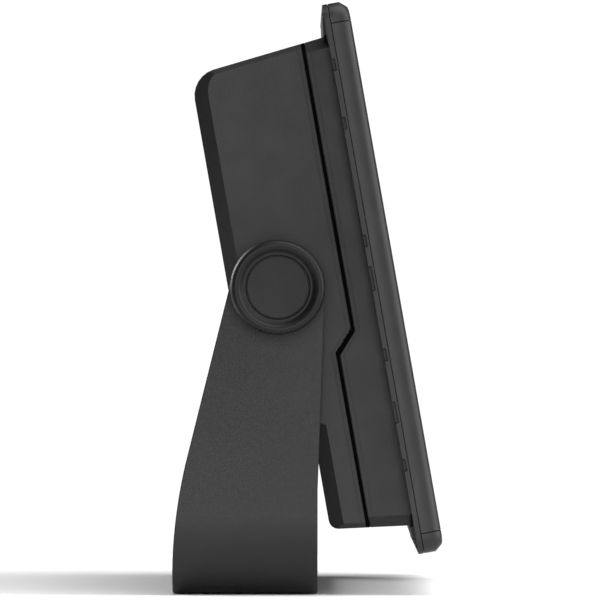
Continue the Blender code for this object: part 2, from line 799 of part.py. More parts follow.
def make_trims(head):
    front = at_depth(0.0)
    rear = at_depth(TRIM_DEPTH)
    hollow_front = at_depth(TRIM_WALL)
    inner_x = HEAD_HALF_WIDTH - TRIM_WALL

    for place, edge_up, inward in (("top", HEAD_TOP, -1), ("bottom", HEAD_BOTTOM, 1)):
        seam = edge_up + inward * (TRIM_WIDTH - SEAM)

        def on_front_rim(a, b, seam=seam):
            flat = max(a.y, b.y) < front + MERGE
            return flat and not (abs(a.z - seam) < MERGE and abs(b.z - seam) < MERGE)

        mesh = front_plate([end_trim_outline(place)], front, rear)
        mesh = round_edges(mesh, on_front_rim, TRIM_ROUND)
        trim = add_part("trim_" + place, mesh, "trim_plastic", head)
        low, high = sorted((edge_up + inward * TRIM_WALL, seam + inward * 0.002))
        cut(trim, block((-inner_x, hollow_front, low), (inner_x, rear + GAP, high)))
        add_hooks(trim, place)

    seam_low = HEAD_BOTTOM + TRIM_WIDTH + SEAM
    seam_high = HEAD_TOP - TRIM_WIDTH - SEAM
    for word, side in sides():

        def on_outer_front(a, b, side=side):
            flat = max(a.y, b.y) < front + MERGE
            return flat and min(a.x * side, b.x * side) > HEAD_HALF_WIDTH - MERGE

        low_x, high_x = sorted((side * (HEAD_HALF_WIDTH - TRIM_WIDTH), side * HEAD_HALF_WIDTH))
        mesh = block((low_x, front, seam_low), (high_x, rear, seam_high))
        mesh = round_edges(mesh, on_outer_front, TRIM_ROUND)
        trim = add_part("trim_" + word, mesh, "trim_plastic", head)
        low_x, high_x = sorted((side * inner_x, side * (inner_x - TRIM_WIDTH)))
        cut(trim, block((low_x, hollow_front, seam_low - GAP), (high_x, rear + GAP, seam_high + GAP)))
        add_hooks(trim, word)


def screen_centre():
    return (HEAD_TOP + HEAD_BOTTOM) / 2


def screen_box(grow):
    centre = screen_centre()
    return SCREEN_HALF_X + grow, centre - SCREEN_HALF_UP - grow, centre + SCREEN_HALF_UP + grow


def screen_opening(front_depth, rear_depth):
    half_x, low, high = screen_box(SCREEN_PLAY)
    return block((-half_x, at_depth(front_depth), low), (half_x, at_depth(rear_depth), high))


def screw_places():
    for row, up in (("upper", SCREW_UPPER), ("lower", SCREW_LOWER)):
        for word, side in sides():
            yield row, word, side * SCREW_X, up


def rim_wedge(edge_up, inward):
    """The sloped fillet behind the rim, above or below the housing."""
    tip = edge_up + inward * RIM_SLOPE_INSET
    foot = HOUSING_TOP + GAP if inward < 0 else HOUSING_BOTTOM - GAP
    outline = [
        (RIM_REAR - GAP, tip),
        (RIM_REAR, tip),
        (RIM_REAR + RIM_SLOPE, foot),
        (RIM_REAR - GAP, foot),
    ]
    return side_prism(in_head(outline), HOUSING_HALF_WIDTH)


def make_front_frame(head):
    rim_front = TRIM_DEPTH + GAP
    rear = RIM_REAR
    outline = rounded_outline(HEAD_HALF_WIDTH, HEAD_BOTTOM, HEAD_TOP, CORNER_RADIUS)
    mesh = front_plate([outline], at_depth(rim_front), at_depth(rear))
    frame = add_part("front_frame", mesh, "housing_plastic", head)
    step = TRIM_WALL + GAP
    inner = rounded_outline(
        HEAD_HALF_WIDTH - step, HEAD_BOTTOM + step, HEAD_TOP - step, CORNER_RADIUS - step
    )
    join(frame, front_plate([inner], at_depth(LEDGE_DEPTH), at_depth(rim_front + GAP)))
    join(frame, rim_wedge(HEAD_TOP, -1))
    join(frame, rim_wedge(HEAD_BOTTOM, 1))
    cut(frame, screen_opening(0.0, HOUSING_FRONT + WALL))
    for place in ("left", "right", "top", "bottom"):
        for centre, length in hooks_on(place):
            for piece in hook_blocks(centre, length, place, GAP):
                cut(frame, piece)
    thread = SCREW_RADIUS + SHAFT_PLAY
    for _row, _word, x, up in screw_places():
        hole_front = at_depth(SCREW_TIP_DEPTH - 2 * GAP)
        hole = cylinder(thread, hole_front, at_depth(rear + WALL), "Y", SMALL_STEPS)
        cut(frame, hole, (x, 0.0, up))


# ---------------------------------------------------------------- housing


def joint_line(shift):
    """The joint between mid body and rear cover, from bottom to top, moved back by shift."""
    return [
        (LOWER_JOINT + shift, KINK_BOTTOM + shift),
        (UPPER_JOINT + shift, KINK_TOP + shift),
    ]


def mid_outline():
    return [
        (HOUSING_FRONT, bottom_at(HOUSING_FRONT)),
        (LOWER_JOINT, bottom_at(LOWER_JOINT)),
        *joint_line(0.0),
        (UPPER_JOINT, top_at(UPPER_JOINT)),
        (HOUSING_FRONT, top_at(HOUSING_FRONT)),
    ]


def along_depth(half_width):
    """Picks the four long edges of a side prism that run back along the housing's corners."""

    def pick(a, b):
        on_side = abs(abs(a.x) - half_width) < MERGE and abs(a.x - b.x) < MERGE
        outer = min(abs(a.z), abs(b.z)) > abs(KINK_BOTTOM) * 2 and a.z * b.z > 0
        return on_side and outer and abs(a.y - b.y) > abs(a.z - b.z) * 2

    return pick


def joint_hollow(side):
    """A shallow hollow that widens the side groove beside the pivot, tapered at both ends."""
    near = UPPER_JOINT + JOINT_WIDTH
    far = near + JOINT_HOLLOW_WIDTH
    outline = [
        (near - JOINT_WIDTH, JOINT_HOLLOW_BOTTOM),
        (near, JOINT_HOLLOW_BOTTOM),
        (far, JOINT_HOLLOW_BOTTOM + JOINT_HOLLOW_TAPER),
        (far, JOINT_HOLLOW_TOP - JOINT_HOLLOW_TAPER),
        (near, JOINT_HOLLOW_TOP),
        (near - JOINT_WIDTH, JOINT_HOLLOW_TOP),
    ]
    mesh = side_prism(in_head(outline), JOINT_HOLLOW_DEPTH)
    mesh.transform(Matrix.Translation((side * (HOUSING_HALF_WIDTH - COVER_STEP_IN), 0.0, 0.0)))
    return mesh


def joint_at(up):
    if up > KINK_TOP:
        return UPPER_JOINT
    return LOWER_JOINT


def make_mid_body(head):
    mesh = side_prism(in_head(mid_outline()), HOUSING_HALF_WIDTH)
    mesh = round_edges(mesh, along_depth(HOUSING_HALF_WIDTH), MID_EDGE_CHAMFER, 1)
    body = add_part("mid_body", mesh, "housing_plastic", head)
    inside_front = HOUSING_FRONT + WALL
    half_x = HOUSING_HALF_WIDTH - WALL
    low = bottom_at(LOWER_JOINT) + WALL
    high = top_at(UPPER_JOINT) - WALL
    rear = at_depth(LOWER_JOINT + WALL)
    cut(body, block((-half_x, at_depth(inside_front), low), (half_x, rear, high)))
    cut(body, screen_opening(HOUSING_FRONT - WALL, inside_front + WALL))
    hole_radius = SCREW_RADIUS + SCREW_PLAY
    for _row, _word, x, up in screw_places():
        end = at_depth(joint_at(up))
        boss = cylinder(SCREW_BOSS_RADIUS, at_depth(inside_front - GAP), end, "Y", SMALL_STEPS)
        join(body, boss, (x, 0.0, up))
        front = at_depth(HOUSING_FRONT - WALL)
        hole = cylinder(hole_radius, front, end + WALL, "Y", SMALL_STEPS)
        cut(body, hole, (x, 0.0, up))


def cover_outline(inset, rear=0.0, edge=0.0):
    """The rear cover seen from the side; inset moves every wall but the joint inward.

    rear and edge move the rear walls, and the upper and lower walls, further inward.
    """
    front_low = LOWER_JOINT + JOINT_WIDTH
    front_high = UPPER_JOINT + JOINT_WIDTH
    shallow = SHALLOW_REAR - inset - rear
    deep = DEEP_REAR - inset - rear
    low = [max(REAR_BOTTOM_RADIUS - inset - step, SCREW_PLAY) for step in (rear, edge)]
    high = [max(REAR_TOP_RADIUS - inset - step, SCREW_PLAY) for step in (rear, edge)]
    low_centre = (shallow - low[0], bottom_at(shallow - low[0]) + inset + edge + low[1])
    high_centre = (deep - high[0], top_at(deep - high[0]) - inset - edge - high[1])
    step_slope = math.atan2(STEP_TOP - STEP_BOTTOM, DEEP_REAR - SHALLOW_REAR)
    step_shift = rear * math.tan((math.pi / 2 - step_slope) / 2)
    joint = joint_line(JOINT_WIDTH)
    if inset > 0.0:
        reach = JOINT_WIDTH + WALL
        front_low -= reach
        front_high -= reach
        joint = joint_line(JOINT_WIDTH - reach)
    return (
        [(front_low, bottom_at(front_low) + inset + edge)]
        + oval_arc(low_centre, low, -90.0 + BOTTOM_DRAFT, 0.0, 4)
        + [(shallow, STEP_BOTTOM + inset / 2 + step_shift), (deep, STEP_TOP + inset + step_shift)]
        + oval_arc(high_centre, high, 0.0, 90.0 - TOP_DRAFT)
        + [(front_high, top_at(front_high) - inset - edge)]
        + list(reversed(joint))
    )


def cover_shape(inset, rear_chamfer, edge_chamfer):
    outline = in_head(cover_outline(inset))
    inner = in_head(cover_outline(inset, rear_chamfer, edge_chamfer))
    return chamfered_prism(outline, inner, HOUSING_HALF_WIDTH - COVER_STEP_IN - inset)


def make_rear_cover(head):
    mesh = cover_shape(0.0, REAR_SIDE_CHAMFER, COVER_EDGE_CHAMFER)
    cover = add_part("rear_cover", mesh, "painted_aluminium", head)
    # This much less inside keeps the wall as thick across the chamfer as it is elsewhere.
    inner_chamfer = REAR_SIDE_CHAMFER - WALL * (2.0 - math.sqrt(2.0))
    cut(cover, cover_shape(WALL, inner_chamfer, 0.0))
    add_pivot_bosses(cover)
    add_cover_screw_bosses(cover)
    for _word, side in sides():
        cut(cover, joint_hollow(side))
    cut_card_slot(cover)
    cut_rear_openings(cover)
    cut_keys(cover)


def add_pivot_bosses(cover):
    half_x = HOUSING_HALF_WIDTH - COVER_STEP_IN
    for _word, side in sides():
        low, high = sorted((side * (half_x - INSERT_LENGTH), side * (half_x - WALL / 2)))
        join(cover, cylinder(BOSS_RADIUS, low, high, "X"))
        low, high = sorted((side * (half_x - INSERT_LENGTH - WALL), side * (half_x + WALL)))
        cut(cover, cylinder(INSERT_RADIUS + SHAFT_PLAY, low, high, "X"))


def screw_head_depth(up):
    return joint_at(up) + JOINT_WIDTH + SCREW_FLOOR


def add_cover_screw_bosses(cover):
    for row, _word, x, up in screw_places():
        rear = DEEP_REAR if row == "upper" else SHALLOW_REAR
        start = at_depth(joint_at(up) + JOINT_WIDTH)
        boss = cylinder(SCREW_BOSS_RADIUS, start, at_depth(rear - WALL / 2), "Y", SMALL_STEPS)
        join(cover, boss, (x, 0.0, up))
    for row, _word, x, up in screw_places():
        rear = DEEP_REAR if row == "upper" else SHALLOW_REAR
        start = at_depth(joint_at(up))
        floor = at_depth(screw_head_depth(up))
        hole = cylinder(SCREW_RADIUS + SCREW_PLAY, start, floor + GAP, "Y", SMALL_STEPS)
        cut(cover, hole, (x, 0.0, up))
        well_radius = SCREW_HEAD_RADIUS + SCREW_PLAY
        well = cylinder(well_radius, floor, at_depth(rear + WALL), "Y", SMALL_STEPS)
        cut(cover, well, (x, 0.0, up))


def card_depth():
    return BOARD_DEPTH + BOARD_THICK + 2 * GAP + CARD_SHELL + CARD[1] / 2


def cut_card_slot(cover):
    half_thick = CARD[1] / 2 + 2 * GAP
    half_wide = CARD[2] / 2 + 2 * GAP
    low = (HOUSING_HALF_WIDTH - 2 * WALL, at_depth(card_depth() - half_thick), CARD_UP - half_wide)
    high = (HEAD_HALF_WIDTH, at_depth(card_depth() + half_thick), CARD_UP + half_wide)
    cut(cover, block(low, high))


def cut_rear_openings(cover):
    shallow = (at_depth(SHALLOW_REAR - 2 * WALL), at_depth(SHALLOW_REAR + WALL))
    deep = (at_depth(DEEP_REAR - 2 * WALL), at_depth(DEEP_REAR + WALL))
    half_x = USB_SIZE[0] / 2 + GAP
    half_up = USB_SIZE[1] / 2 + GAP
    x, up = USB_AT
    cut(cover, block((x - half_x, shallow[0], up - half_up), (x + half_x, shallow[1], up + half_up)))
    cut(cover, cylinder(DC_RADIUS + GAP, *shallow, "Y"), (DC_AT[0], 0.0, DC_AT[1]))
    for _word, side in sides():
        for index in range(GRILLE_SLOTS):
            x = side * SPEAKER_X + (index - (GRILLE_SLOTS - 1) / 2) * GRILLE_PITCH
            low = (x - GRILLE_SLOT / 2, shallow[0], SPEAKER_UP - GRILLE_LENGTH / 2)
            high = (x + GRILLE_SLOT / 2, shallow[1], SPEAKER_UP + GRILLE_LENGTH / 2)
            cut(cover, block(low, high))
    for index in range(VENT_SLOTS):
        x = VENT_AT[0] + (index - (VENT_SLOTS - 1) / 2) * VENT_PITCH
        low = (x - VENT_SLOT / 2, deep[0], VENT_AT[1] - VENT_LENGTH / 2)
        high = (x + VENT_SLOT / 2, deep[1], VENT_AT[1] + VENT_LENGTH / 2)
        cut(cover, block(low, high))


def make_seal(head):
    """The rubber strip in the joint, following its step at the sides."""
    front_low = LOWER_JOINT + GAP
    front_high = UPPER_JOINT + GAP
    rear_low = LOWER_JOINT + JOINT_WIDTH - GAP
    rear_high = UPPER_JOINT + JOINT_WIDTH - GAP
    outline = [
        (front_low, bottom_at(front_low) + SEAL_EDGE_INSET),
        (rear_low, bottom_at(rear_low) + SEAL_EDGE_INSET),
        *joint_line(JOINT_WIDTH - GAP),
        (rear_high, top_at(rear_high) - SEAL_EDGE_INSET),
        (front_high, top_at(front_high) - SEAL_EDGE_INSET),
        *reversed(joint_line(GAP)),
    ]
    mesh = side_prism(in_head(outline), HOUSING_HALF_WIDTH - SEAL_INSET)
    seal = add_part("housing_seal", mesh, "rubber", head)
    inset = SEAL_INSET + SEAL_WIDTH
    half_x = HOUSING_HALF_WIDTH - inset
    low = (-half_x, at_depth(HOUSING_FRONT), bottom_at(rear_low) + inset)
    high = (half_x, at_depth(SHALLOW_REAR), top_at(rear_high) - inset)
    cut(seal, block(low, high))


def make_cover_screws(head):
    for row, word, x, up in screw_places():
        floor = at_depth(screw_head_depth(up)) + GAP
        tip = at_depth(SCREW_TIP_DEPTH)
        shank = cylinder(SCREW_RADIUS, tip, floor + GAP, "Y", SMALL_STEPS)
        screw = add_part(f"cover_screw_{row}_{word}", shank, "steel", head, (x, 0.0, up))
        screw_head = cylinder(SCREW_HEAD_RADIUS, floor, floor + SCREW_HEAD, "Y", SMALL_STEPS)
        join(screw, screw_head, (x, 0.0, up))


# ---------------------------------------------------------------- glass and screen


def make_screen(head):
    inset = TRIM_WIDTH + GAP
    half_x = HEAD_HALF_WIDTH - inset
    low = HEAD_BOTTOM + inset
    high = HEAD_TOP - inset
    radius = GLASS_CORNER_RADIUS
    glass_rear = GLASS_DEPTH + GLASS_THICK
    outer = rounded_outline(half_x, low, high, radius)
    glass = front_plate([outer], at_depth(GLASS_DEPTH), at_depth(glass_rear))
    add_part("cover_glass", glass, "glass", head)
    tape_front = glass_rear + GAP
    tape_half = half_x - GAP
    tape_outer = rounded_outline(tape_half, low + GAP, high - GAP, radius)
    tape_inner = rounded_outline(
        tape_half - TAPE_WIDTH, low + GAP + TAPE_WIDTH, high - GAP - TAPE_WIDTH, radius
    )
    tape_rear = at_depth(tape_front + TAPE_THICK)
    tape = front_plate([tape_outer, tape_inner], at_depth(tape_front), tape_rear)
    add_part("glass_gasket", tape, "rubber", head)

    half_x, low, high = screen_box(0.0)
    depth = LEDGE_DEPTH
    for name, thick, finish in (
        ("lcd_panel", LCD_THICK, "lcd"),
        ("backlight", BACKLIGHT_THICK, "diffuser"),
    ):
        layer = block((-half_x, at_depth(depth), low), (half_x, at_depth(depth + thick), high))
        add_part(name, layer, finish, head)
        depth += thick + GAP
    return depth


def board_screw_places():
    rows = (("lower", BOARD_UP[0] + BOARD_SCREW_INSET), ("upper", BOARD_UP[1] - BOARD_SCREW_INSET))
    columns = (("inner", BOARD_X[0] + BOARD_SCREW_INSET), ("outer", BOARD_X[1] - BOARD_SCREW_INSET))
    for row, up in rows:
        for word, x in columns:
            yield f"{row}_{word}", x, up


def make_chassis(head, depth):
    half_x, low, high = screen_box(-SCREEN_PLAY)
    rear = depth + CHASSIS_THICK
    plate = block((-half_x, at_depth(depth), low), (half_x, at_depth(rear), high))
    chassis = add_part("chassis_plate", plate, "aluminium", head)
    post_end = at_depth(BOARD_DEPTH - GAP)
    thread = BOARD_SCREW_RADIUS + SHAFT_PLAY
    for _word, x, up in board_screw_places():
        post = cylinder(BOARD_POST_RADIUS, at_depth(rear - GAP), post_end, "Y", SMALL_STEPS)
        join(chassis, post, (x, 0.0, up))
    for _word, x, up in board_screw_places():
        pilot = cylinder(thread, at_depth(rear + WALL), post_end + WALL, "Y", SMALL_STEPS)
        cut(chassis, pilot, (x, 0.0, up))
    notch_x = sum(BOARD_X) / 2
    notch_half = RIBBON_WIDTH / 2 + 5 * GAP
    low_corner = (notch_x - notch_half, at_depth(depth - GAP), low - GAP)
    high_corner = (notch_x + notch_half, at_depth(rear + GAP), low + RIBBON_WIDTH / 3)
    cut(chassis, block(low_corner, high_corner))


# ---------------------------------------------------------------- electronics


def make_board(head):
    rear = BOARD_DEPTH + BOARD_THICK
    low = (BOARD_X[0], at_depth(BOARD_DEPTH), BOARD_UP[0])
    high = (BOARD_X[1], at_depth(rear), BOARD_UP[1])
    board = add_part("main_board", block(low, high), "circuit_board", head)
    hole_radius = BOARD_SCREW_RADIUS + SCREW_PLAY
    hole_front = at_depth(BOARD_DEPTH - WALL)
    for word, x, up in board_screw_places():
        hole = cylinder(hole_radius, hole_front, at_depth(rear + WALL), "Y", SMALL_STEPS)
        cut(board, hole, (x, 0.0, up))
        tip = at_depth(BOARD_DEPTH - 2 * WALL)
        seat = at_depth(rear) + GAP
        shank = cylinder(BOARD_SCREW_RADIUS, tip, seat + GAP, "Y", SMALL_STEPS)
        screw = add_part("board_screw_" + word, shank, "steel", head, (x, 0.0, up))
        screw_head = cylinder(2 * BOARD_SCREW_RADIUS, seat, seat + BOARD_THICK, "Y", SMALL_STEPS)
        join(screw, screw_head, (x, 0.0, up))


def centred_block(x, up, half_x, half_up, front_depth, rear_depth):
    low = (x - half_x, at_depth(front_depth), up - half_up)
    high = (x + half_x, at_depth(rear_depth), up + half_up)
    return block(low, high)


def make_processor(head):
    x, up = CHIP_AT
    depth = BOARD_DEPTH + BOARD_THICK + GAP
    chip = centred_block(x, up, CHIP / 2, CHIP / 2, depth, depth + CHIP_THICK)
    add_part("processor", chip, "dark_plastic", head)
    depth += CHIP_THICK + GAP
    sheet = centred_block(x, up, CHIP / 2, CHIP / 2, depth, depth + PAD_SHEET)
    add_part("thermal_pad", sheet, "rubber", head)
    depth += PAD_SHEET + GAP
    half = SINK_SIZE / 2
    rear = depth + SINK_HEIGHT
    sink = add_part("heat_sink", centred_block(x, up, half, half, depth, rear), "aluminium", head)
    pitch = (SINK_SIZE - SINK_FIN) / (SINK_FINS - 1)
    for index in range(SINK_FINS - 1):
        gap_x = x - half + SINK_FIN / 2 + (index + 0.5) * pitch
        half_gap = (pitch - SINK_FIN) / 2
        cut(sink, centred_block(gap_x, up, half_gap, half + GAP, depth + SINK_BASE, rear + GAP))


def make_speakers(head):
    wide, tall, deep = SPEAKER
    rear = SHALLOW_REAR - WALL - GAP
    for word, side in sides():
        body = centred_block(side * SPEAKER_X, SPEAKER_UP, wide / 2, tall / 2, rear - deep, rear)
        add_part("speaker_" + word, body, "dark_plastic", head)


def make_sockets(head):
    board_face = BOARD_DEPTH + BOARD_THICK + GAP
    mouth = SHALLOW_REAR - GAP
    x, up = USB_AT
    shell = centred_block(x, up, USB_SIZE[0] / 2, USB_SIZE[1] / 2, board_face, mouth)
    usb = add_part("usb_socket", shell, "steel", head)
    inner = (USB_SIZE[0] / 2 - USB_SHELL, USB_SIZE[1] / 2 - USB_SHELL)
    cut(usb, centred_block(x, up, *inner, board_face + WALL, mouth + GAP))
    half_x, half_up = (size / 2 for size in USB_TONGUE)
    tongue_up = up + USB_TONGUE_RISE
    start = board_face + WALL - GAP
    join(usb, centred_block(x, tongue_up, half_x, half_up, start, mouth - WALL / 2))

    x, up = DC_AT
    barrel = cylinder(DC_RADIUS, at_depth(board_face), at_depth(mouth), "Y")
    inlet = add_part("dc_inlet", barrel, "dark_plastic", head, (x, 0.0, up))
    bore = cylinder(DC_BORE, at_depth(board_face + WALL), at_depth(mouth) + GAP, "Y")
    cut(inlet, bore, (x, 0.0, up))
    pin_start = at_depth(board_face + WALL) - GAP
    pin = cylinder(DC_PIN, pin_start, at_depth(mouth - WALL / 2), "Y", SMALL_STEPS)
    join(inlet, pin, (x, 0.0, up))


def make_card_and_socket(head):
    long, thick, wide = CARD
    depth = card_depth()
    cover_side = HOUSING_HALF_WIDTH - COVER_STEP_IN
    end_x = cover_side + CARD_PROUD
    start_x = end_x - long
    card = block(
        (start_x, at_depth(depth - thick / 2), CARD_UP - wide / 2),
        (end_x, at_depth(depth + thick / 2), CARD_UP + wide / 2),
    )
    add_part("memory_card", card, "card_plastic", head)
    shell = GAP + CARD_SHELL
    mouth_x = cover_side - WALL - GAP
    socket = block(
        (start_x - shell, at_depth(depth - thick / 2 - shell), CARD_UP - wide / 2 - shell),
        (mouth_x, at_depth(depth + thick / 2 + shell), CARD_UP + wide / 2 + shell),
    )
    holder = add_part("card_socket", socket, "steel", head)
    hollow = block(
        (start_x - GAP, at_depth(depth - thick / 2 - GAP), CARD_UP - wide / 2 - GAP),
        (mouth_x + GAP, at_depth(depth + thick / 2 + GAP), CARD_UP + wide / 2 + GAP),
    )
    cut(holder, hollow)


def make_ribbon(head, start_depth):
    """A flat cable from behind the backlight to the main board, as a bent strip."""
    x = sum(BOARD_X) / 2
    _half_x, low, _high = screen_box(-SCREEN_PLAY)
    radius = RIBBON_THICK * 5
    front = start_depth + RIBBON_THICK
    rear = BOARD_DEPTH - GAP - RIBBON_THICK
    base = low + radius + RIBBON_THICK
    run = [(front, base + 2 * radius)]
    run += arc((front + radius, base), radius, 180.0, 270.0, 4)
    run += arc((rear - radius, base), radius, -90.0, 0.0, 4)
    run += [(rear, base + 4 * radius)]
    shape = bmesh.new()
    verts = [shape.verts.new((x - RIBBON_WIDTH / 2, at_depth(d), up)) for d, up in run]
    edges = [shape.edges.new(pair) for pair in zip(verts, verts[1:])]
    drawn = bmesh.ops.extrude_edge_only(shape, edges=edges)["geom"]
    moved = [item for item in drawn if isinstance(item, bmesh.types.BMVert)]
    bmesh.ops.translate(shape, verts=moved, vec=(RIBBON_WIDTH, 0.0, 0.0))
    ribbon = add_part("display_ribbon", from_bmesh(shape), "ribbon", head)
    thicken = ribbon.modifiers.new("thickness", "SOLIDIFY")
    thicken.thickness = RIBBON_THICK
    thicken.offset = 0.0


# ---------------------------------------------------------------- keys


def key_places():
    names = ("power_button", "key_menu", "key_previous", "key_next")
    return [(name, POWER_X + index * KEY_PITCH) for index, name in enumerate(names)]


def key_shape(name, x, grow, front_depth, rear_depth):
    if name == "power_button":
        shape = cylinder(POWER_RADIUS + grow, at_depth(front_depth), at_depth(rear_depth), "Y")
        shape.transform(Matrix.Translation((x, 0.0, KEY_UP)))
        return shape
    half_x = KEY_SIZE[0] / 2 + grow
    half_up = KEY_SIZE[1] / 2 + grow
    return centred_block(x, KEY_UP, half_x, half_up, front_depth, rear_depth)


def key_floor():
    return DEEP_REAR - KEY_RECESS


def cut_keys(cover):
    first = key_places()[0][1]
    last = key_places()[-1][1]
    half = KEY_SIZE[0] / 2 + KEY_ROW_MARGIN
    low = (first - half, at_depth(key_floor()), KEY_UP - half)
    high = (last + half, at_depth(DEEP_REAR + WALL), KEY_UP + half)
    cut(cover, block(low, high))
    for name, x in key_places():
        cut(cover, key_shape(name, x, GAP, DEEP_REAR - 2 * WALL, DEEP_REAR + GAP))


def make_keys(head):
    wall_inner = DEEP_REAR - WALL
    flange_rear = wall_inner - GAP
    flange_front = flange_rear - KEY_FLANGE
    switch_rear = flange_front - KEY_TRAVEL - GAP
    board_rear = switch_rear - SWITCH_HEIGHT - GAP
    board_front = board_rear - KEY_BOARD_THICK
    half_switch = SWITCH_SIZE / 2
    for name, x in key_places():
        stem = key_shape(name, x, 0.0, flange_rear - GAP, DEEP_REAR - GAP)
        key = add_part(name, stem, "key_plastic", head)
        join(key, key_shape(name, x, KEY_FLANGE_LIP, flange_front, flange_rear))
        switch_front = board_rear + GAP
        switch = centred_block(x, KEY_UP, half_switch, half_switch, switch_front, switch_rear)
        word = name.replace("key_", "").replace("_button", "")
        add_part("switch_" + word, switch, "dark_plastic", head)
    middle = sum(x for _name, x in key_places()) / len(key_places())
    half_x = KEY_PITCH * (len(key_places()) - 1) / 2 + KEY_BOARD_MARGIN
    board = centred_block(middle, KEY_UP, half_x, SWITCH_SIZE, board_front, board_rear)
    add_part("key_board", board, "circuit_board", head)


# ---------------------------------------------------------------- assembly


def build():
    make_stand()
    stand_axis = new_empty("stand_pivot", (0.0, PIVOT_Y, PIVOT_HEIGHT), 0.0)
    make_arm_bushes(stand_axis)
    head = new_empty("head_pivot", (0.0, PIVOT_Y, PIVOT_HEIGHT), LEAN_BACK)
    make_pivot_inserts(head)
    make_knobs(head)
    make_trims(head)
    make_front_frame(head)
    chassis_depth = make_screen(head)
    make_chassis(head, chassis_depth)
    make_mid_body(head)
    make_seal(head)
    make_rear_cover(head)
    make_cover_screws(head)
    make_board(head)
    make_processor(head)
    make_speakers(head)
    make_sockets(head)
    make_card_and_socket(head)
    make_ribbon(head, chassis_depth)
    make_keys(head)
    bpy.context.view_layer.update()


clear_scene()
PARTS = new_collection("digital_photo_frame")
CUTTERS = new_collection("cutters")
build()
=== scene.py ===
"""The looks of the digital photo frame: finer shapes, materials, light and camera round its CAD frame."""

import json
import math

import bmesh
import bpy
from mathutils import Matrix, Vector

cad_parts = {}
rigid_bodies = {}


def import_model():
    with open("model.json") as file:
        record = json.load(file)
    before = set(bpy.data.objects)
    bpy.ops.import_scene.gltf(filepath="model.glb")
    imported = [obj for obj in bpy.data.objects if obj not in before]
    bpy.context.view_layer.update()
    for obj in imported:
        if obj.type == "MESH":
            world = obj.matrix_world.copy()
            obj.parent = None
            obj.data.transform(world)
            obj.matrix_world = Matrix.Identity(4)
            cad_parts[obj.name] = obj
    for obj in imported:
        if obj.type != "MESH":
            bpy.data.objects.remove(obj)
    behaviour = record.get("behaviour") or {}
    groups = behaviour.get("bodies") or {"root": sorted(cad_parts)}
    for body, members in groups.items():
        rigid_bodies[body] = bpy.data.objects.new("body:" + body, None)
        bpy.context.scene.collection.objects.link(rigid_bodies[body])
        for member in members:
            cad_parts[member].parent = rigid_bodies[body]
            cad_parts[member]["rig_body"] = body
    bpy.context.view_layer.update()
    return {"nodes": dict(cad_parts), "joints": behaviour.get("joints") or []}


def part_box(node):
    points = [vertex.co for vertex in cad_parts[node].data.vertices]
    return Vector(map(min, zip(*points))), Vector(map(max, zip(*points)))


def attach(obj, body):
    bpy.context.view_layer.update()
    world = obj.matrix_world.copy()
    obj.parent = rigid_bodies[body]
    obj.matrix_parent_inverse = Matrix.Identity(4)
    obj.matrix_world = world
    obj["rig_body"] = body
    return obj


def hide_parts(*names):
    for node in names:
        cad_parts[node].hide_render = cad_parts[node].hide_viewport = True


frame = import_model()
NODES = frame["nodes"]
JOINTS = {joint["name"]: joint for joint in frame["joints"]}

# The head's own frame: its origin is the pivot, local Y runs back and local Z up the screen.
PIVOT = Vector(JOINTS["head_tilt"]["pos_m"])
PRESS = Vector(JOINTS["power_key_press"]["axis"])
LEAN = math.atan2(PRESS.z, -PRESS.y)
HEAD = Matrix.Translation(PIVOT) @ Matrix.Rotation(-LEAN, 4, "X")
TO_HEAD = HEAD.inverted()

MM = 0.001
MERGE = 0.00001
FLAT_WITHIN = math.radians(0.4)
SIDES = (("left", -1), ("right", 1))


def local_box(node):
    """Lowest and highest corner of a CAD node in the head's own frame."""
    places = [TO_HEAD @ vertex.co for vertex in NODES[node].data.vertices]
    low = Vector([min(place[axis] for place in places) for axis in range(3)])
    high = Vector([max(place[axis] for place in places) for axis in range(3)])
    return low, high


# ---------------------------------------------------------------- materials

MATTE_SPECULAR = 0.30


def grey(level):
    """A very slightly cool grey."""
    return tuple(level * part for part in (1.0, 1.0, 1.04))


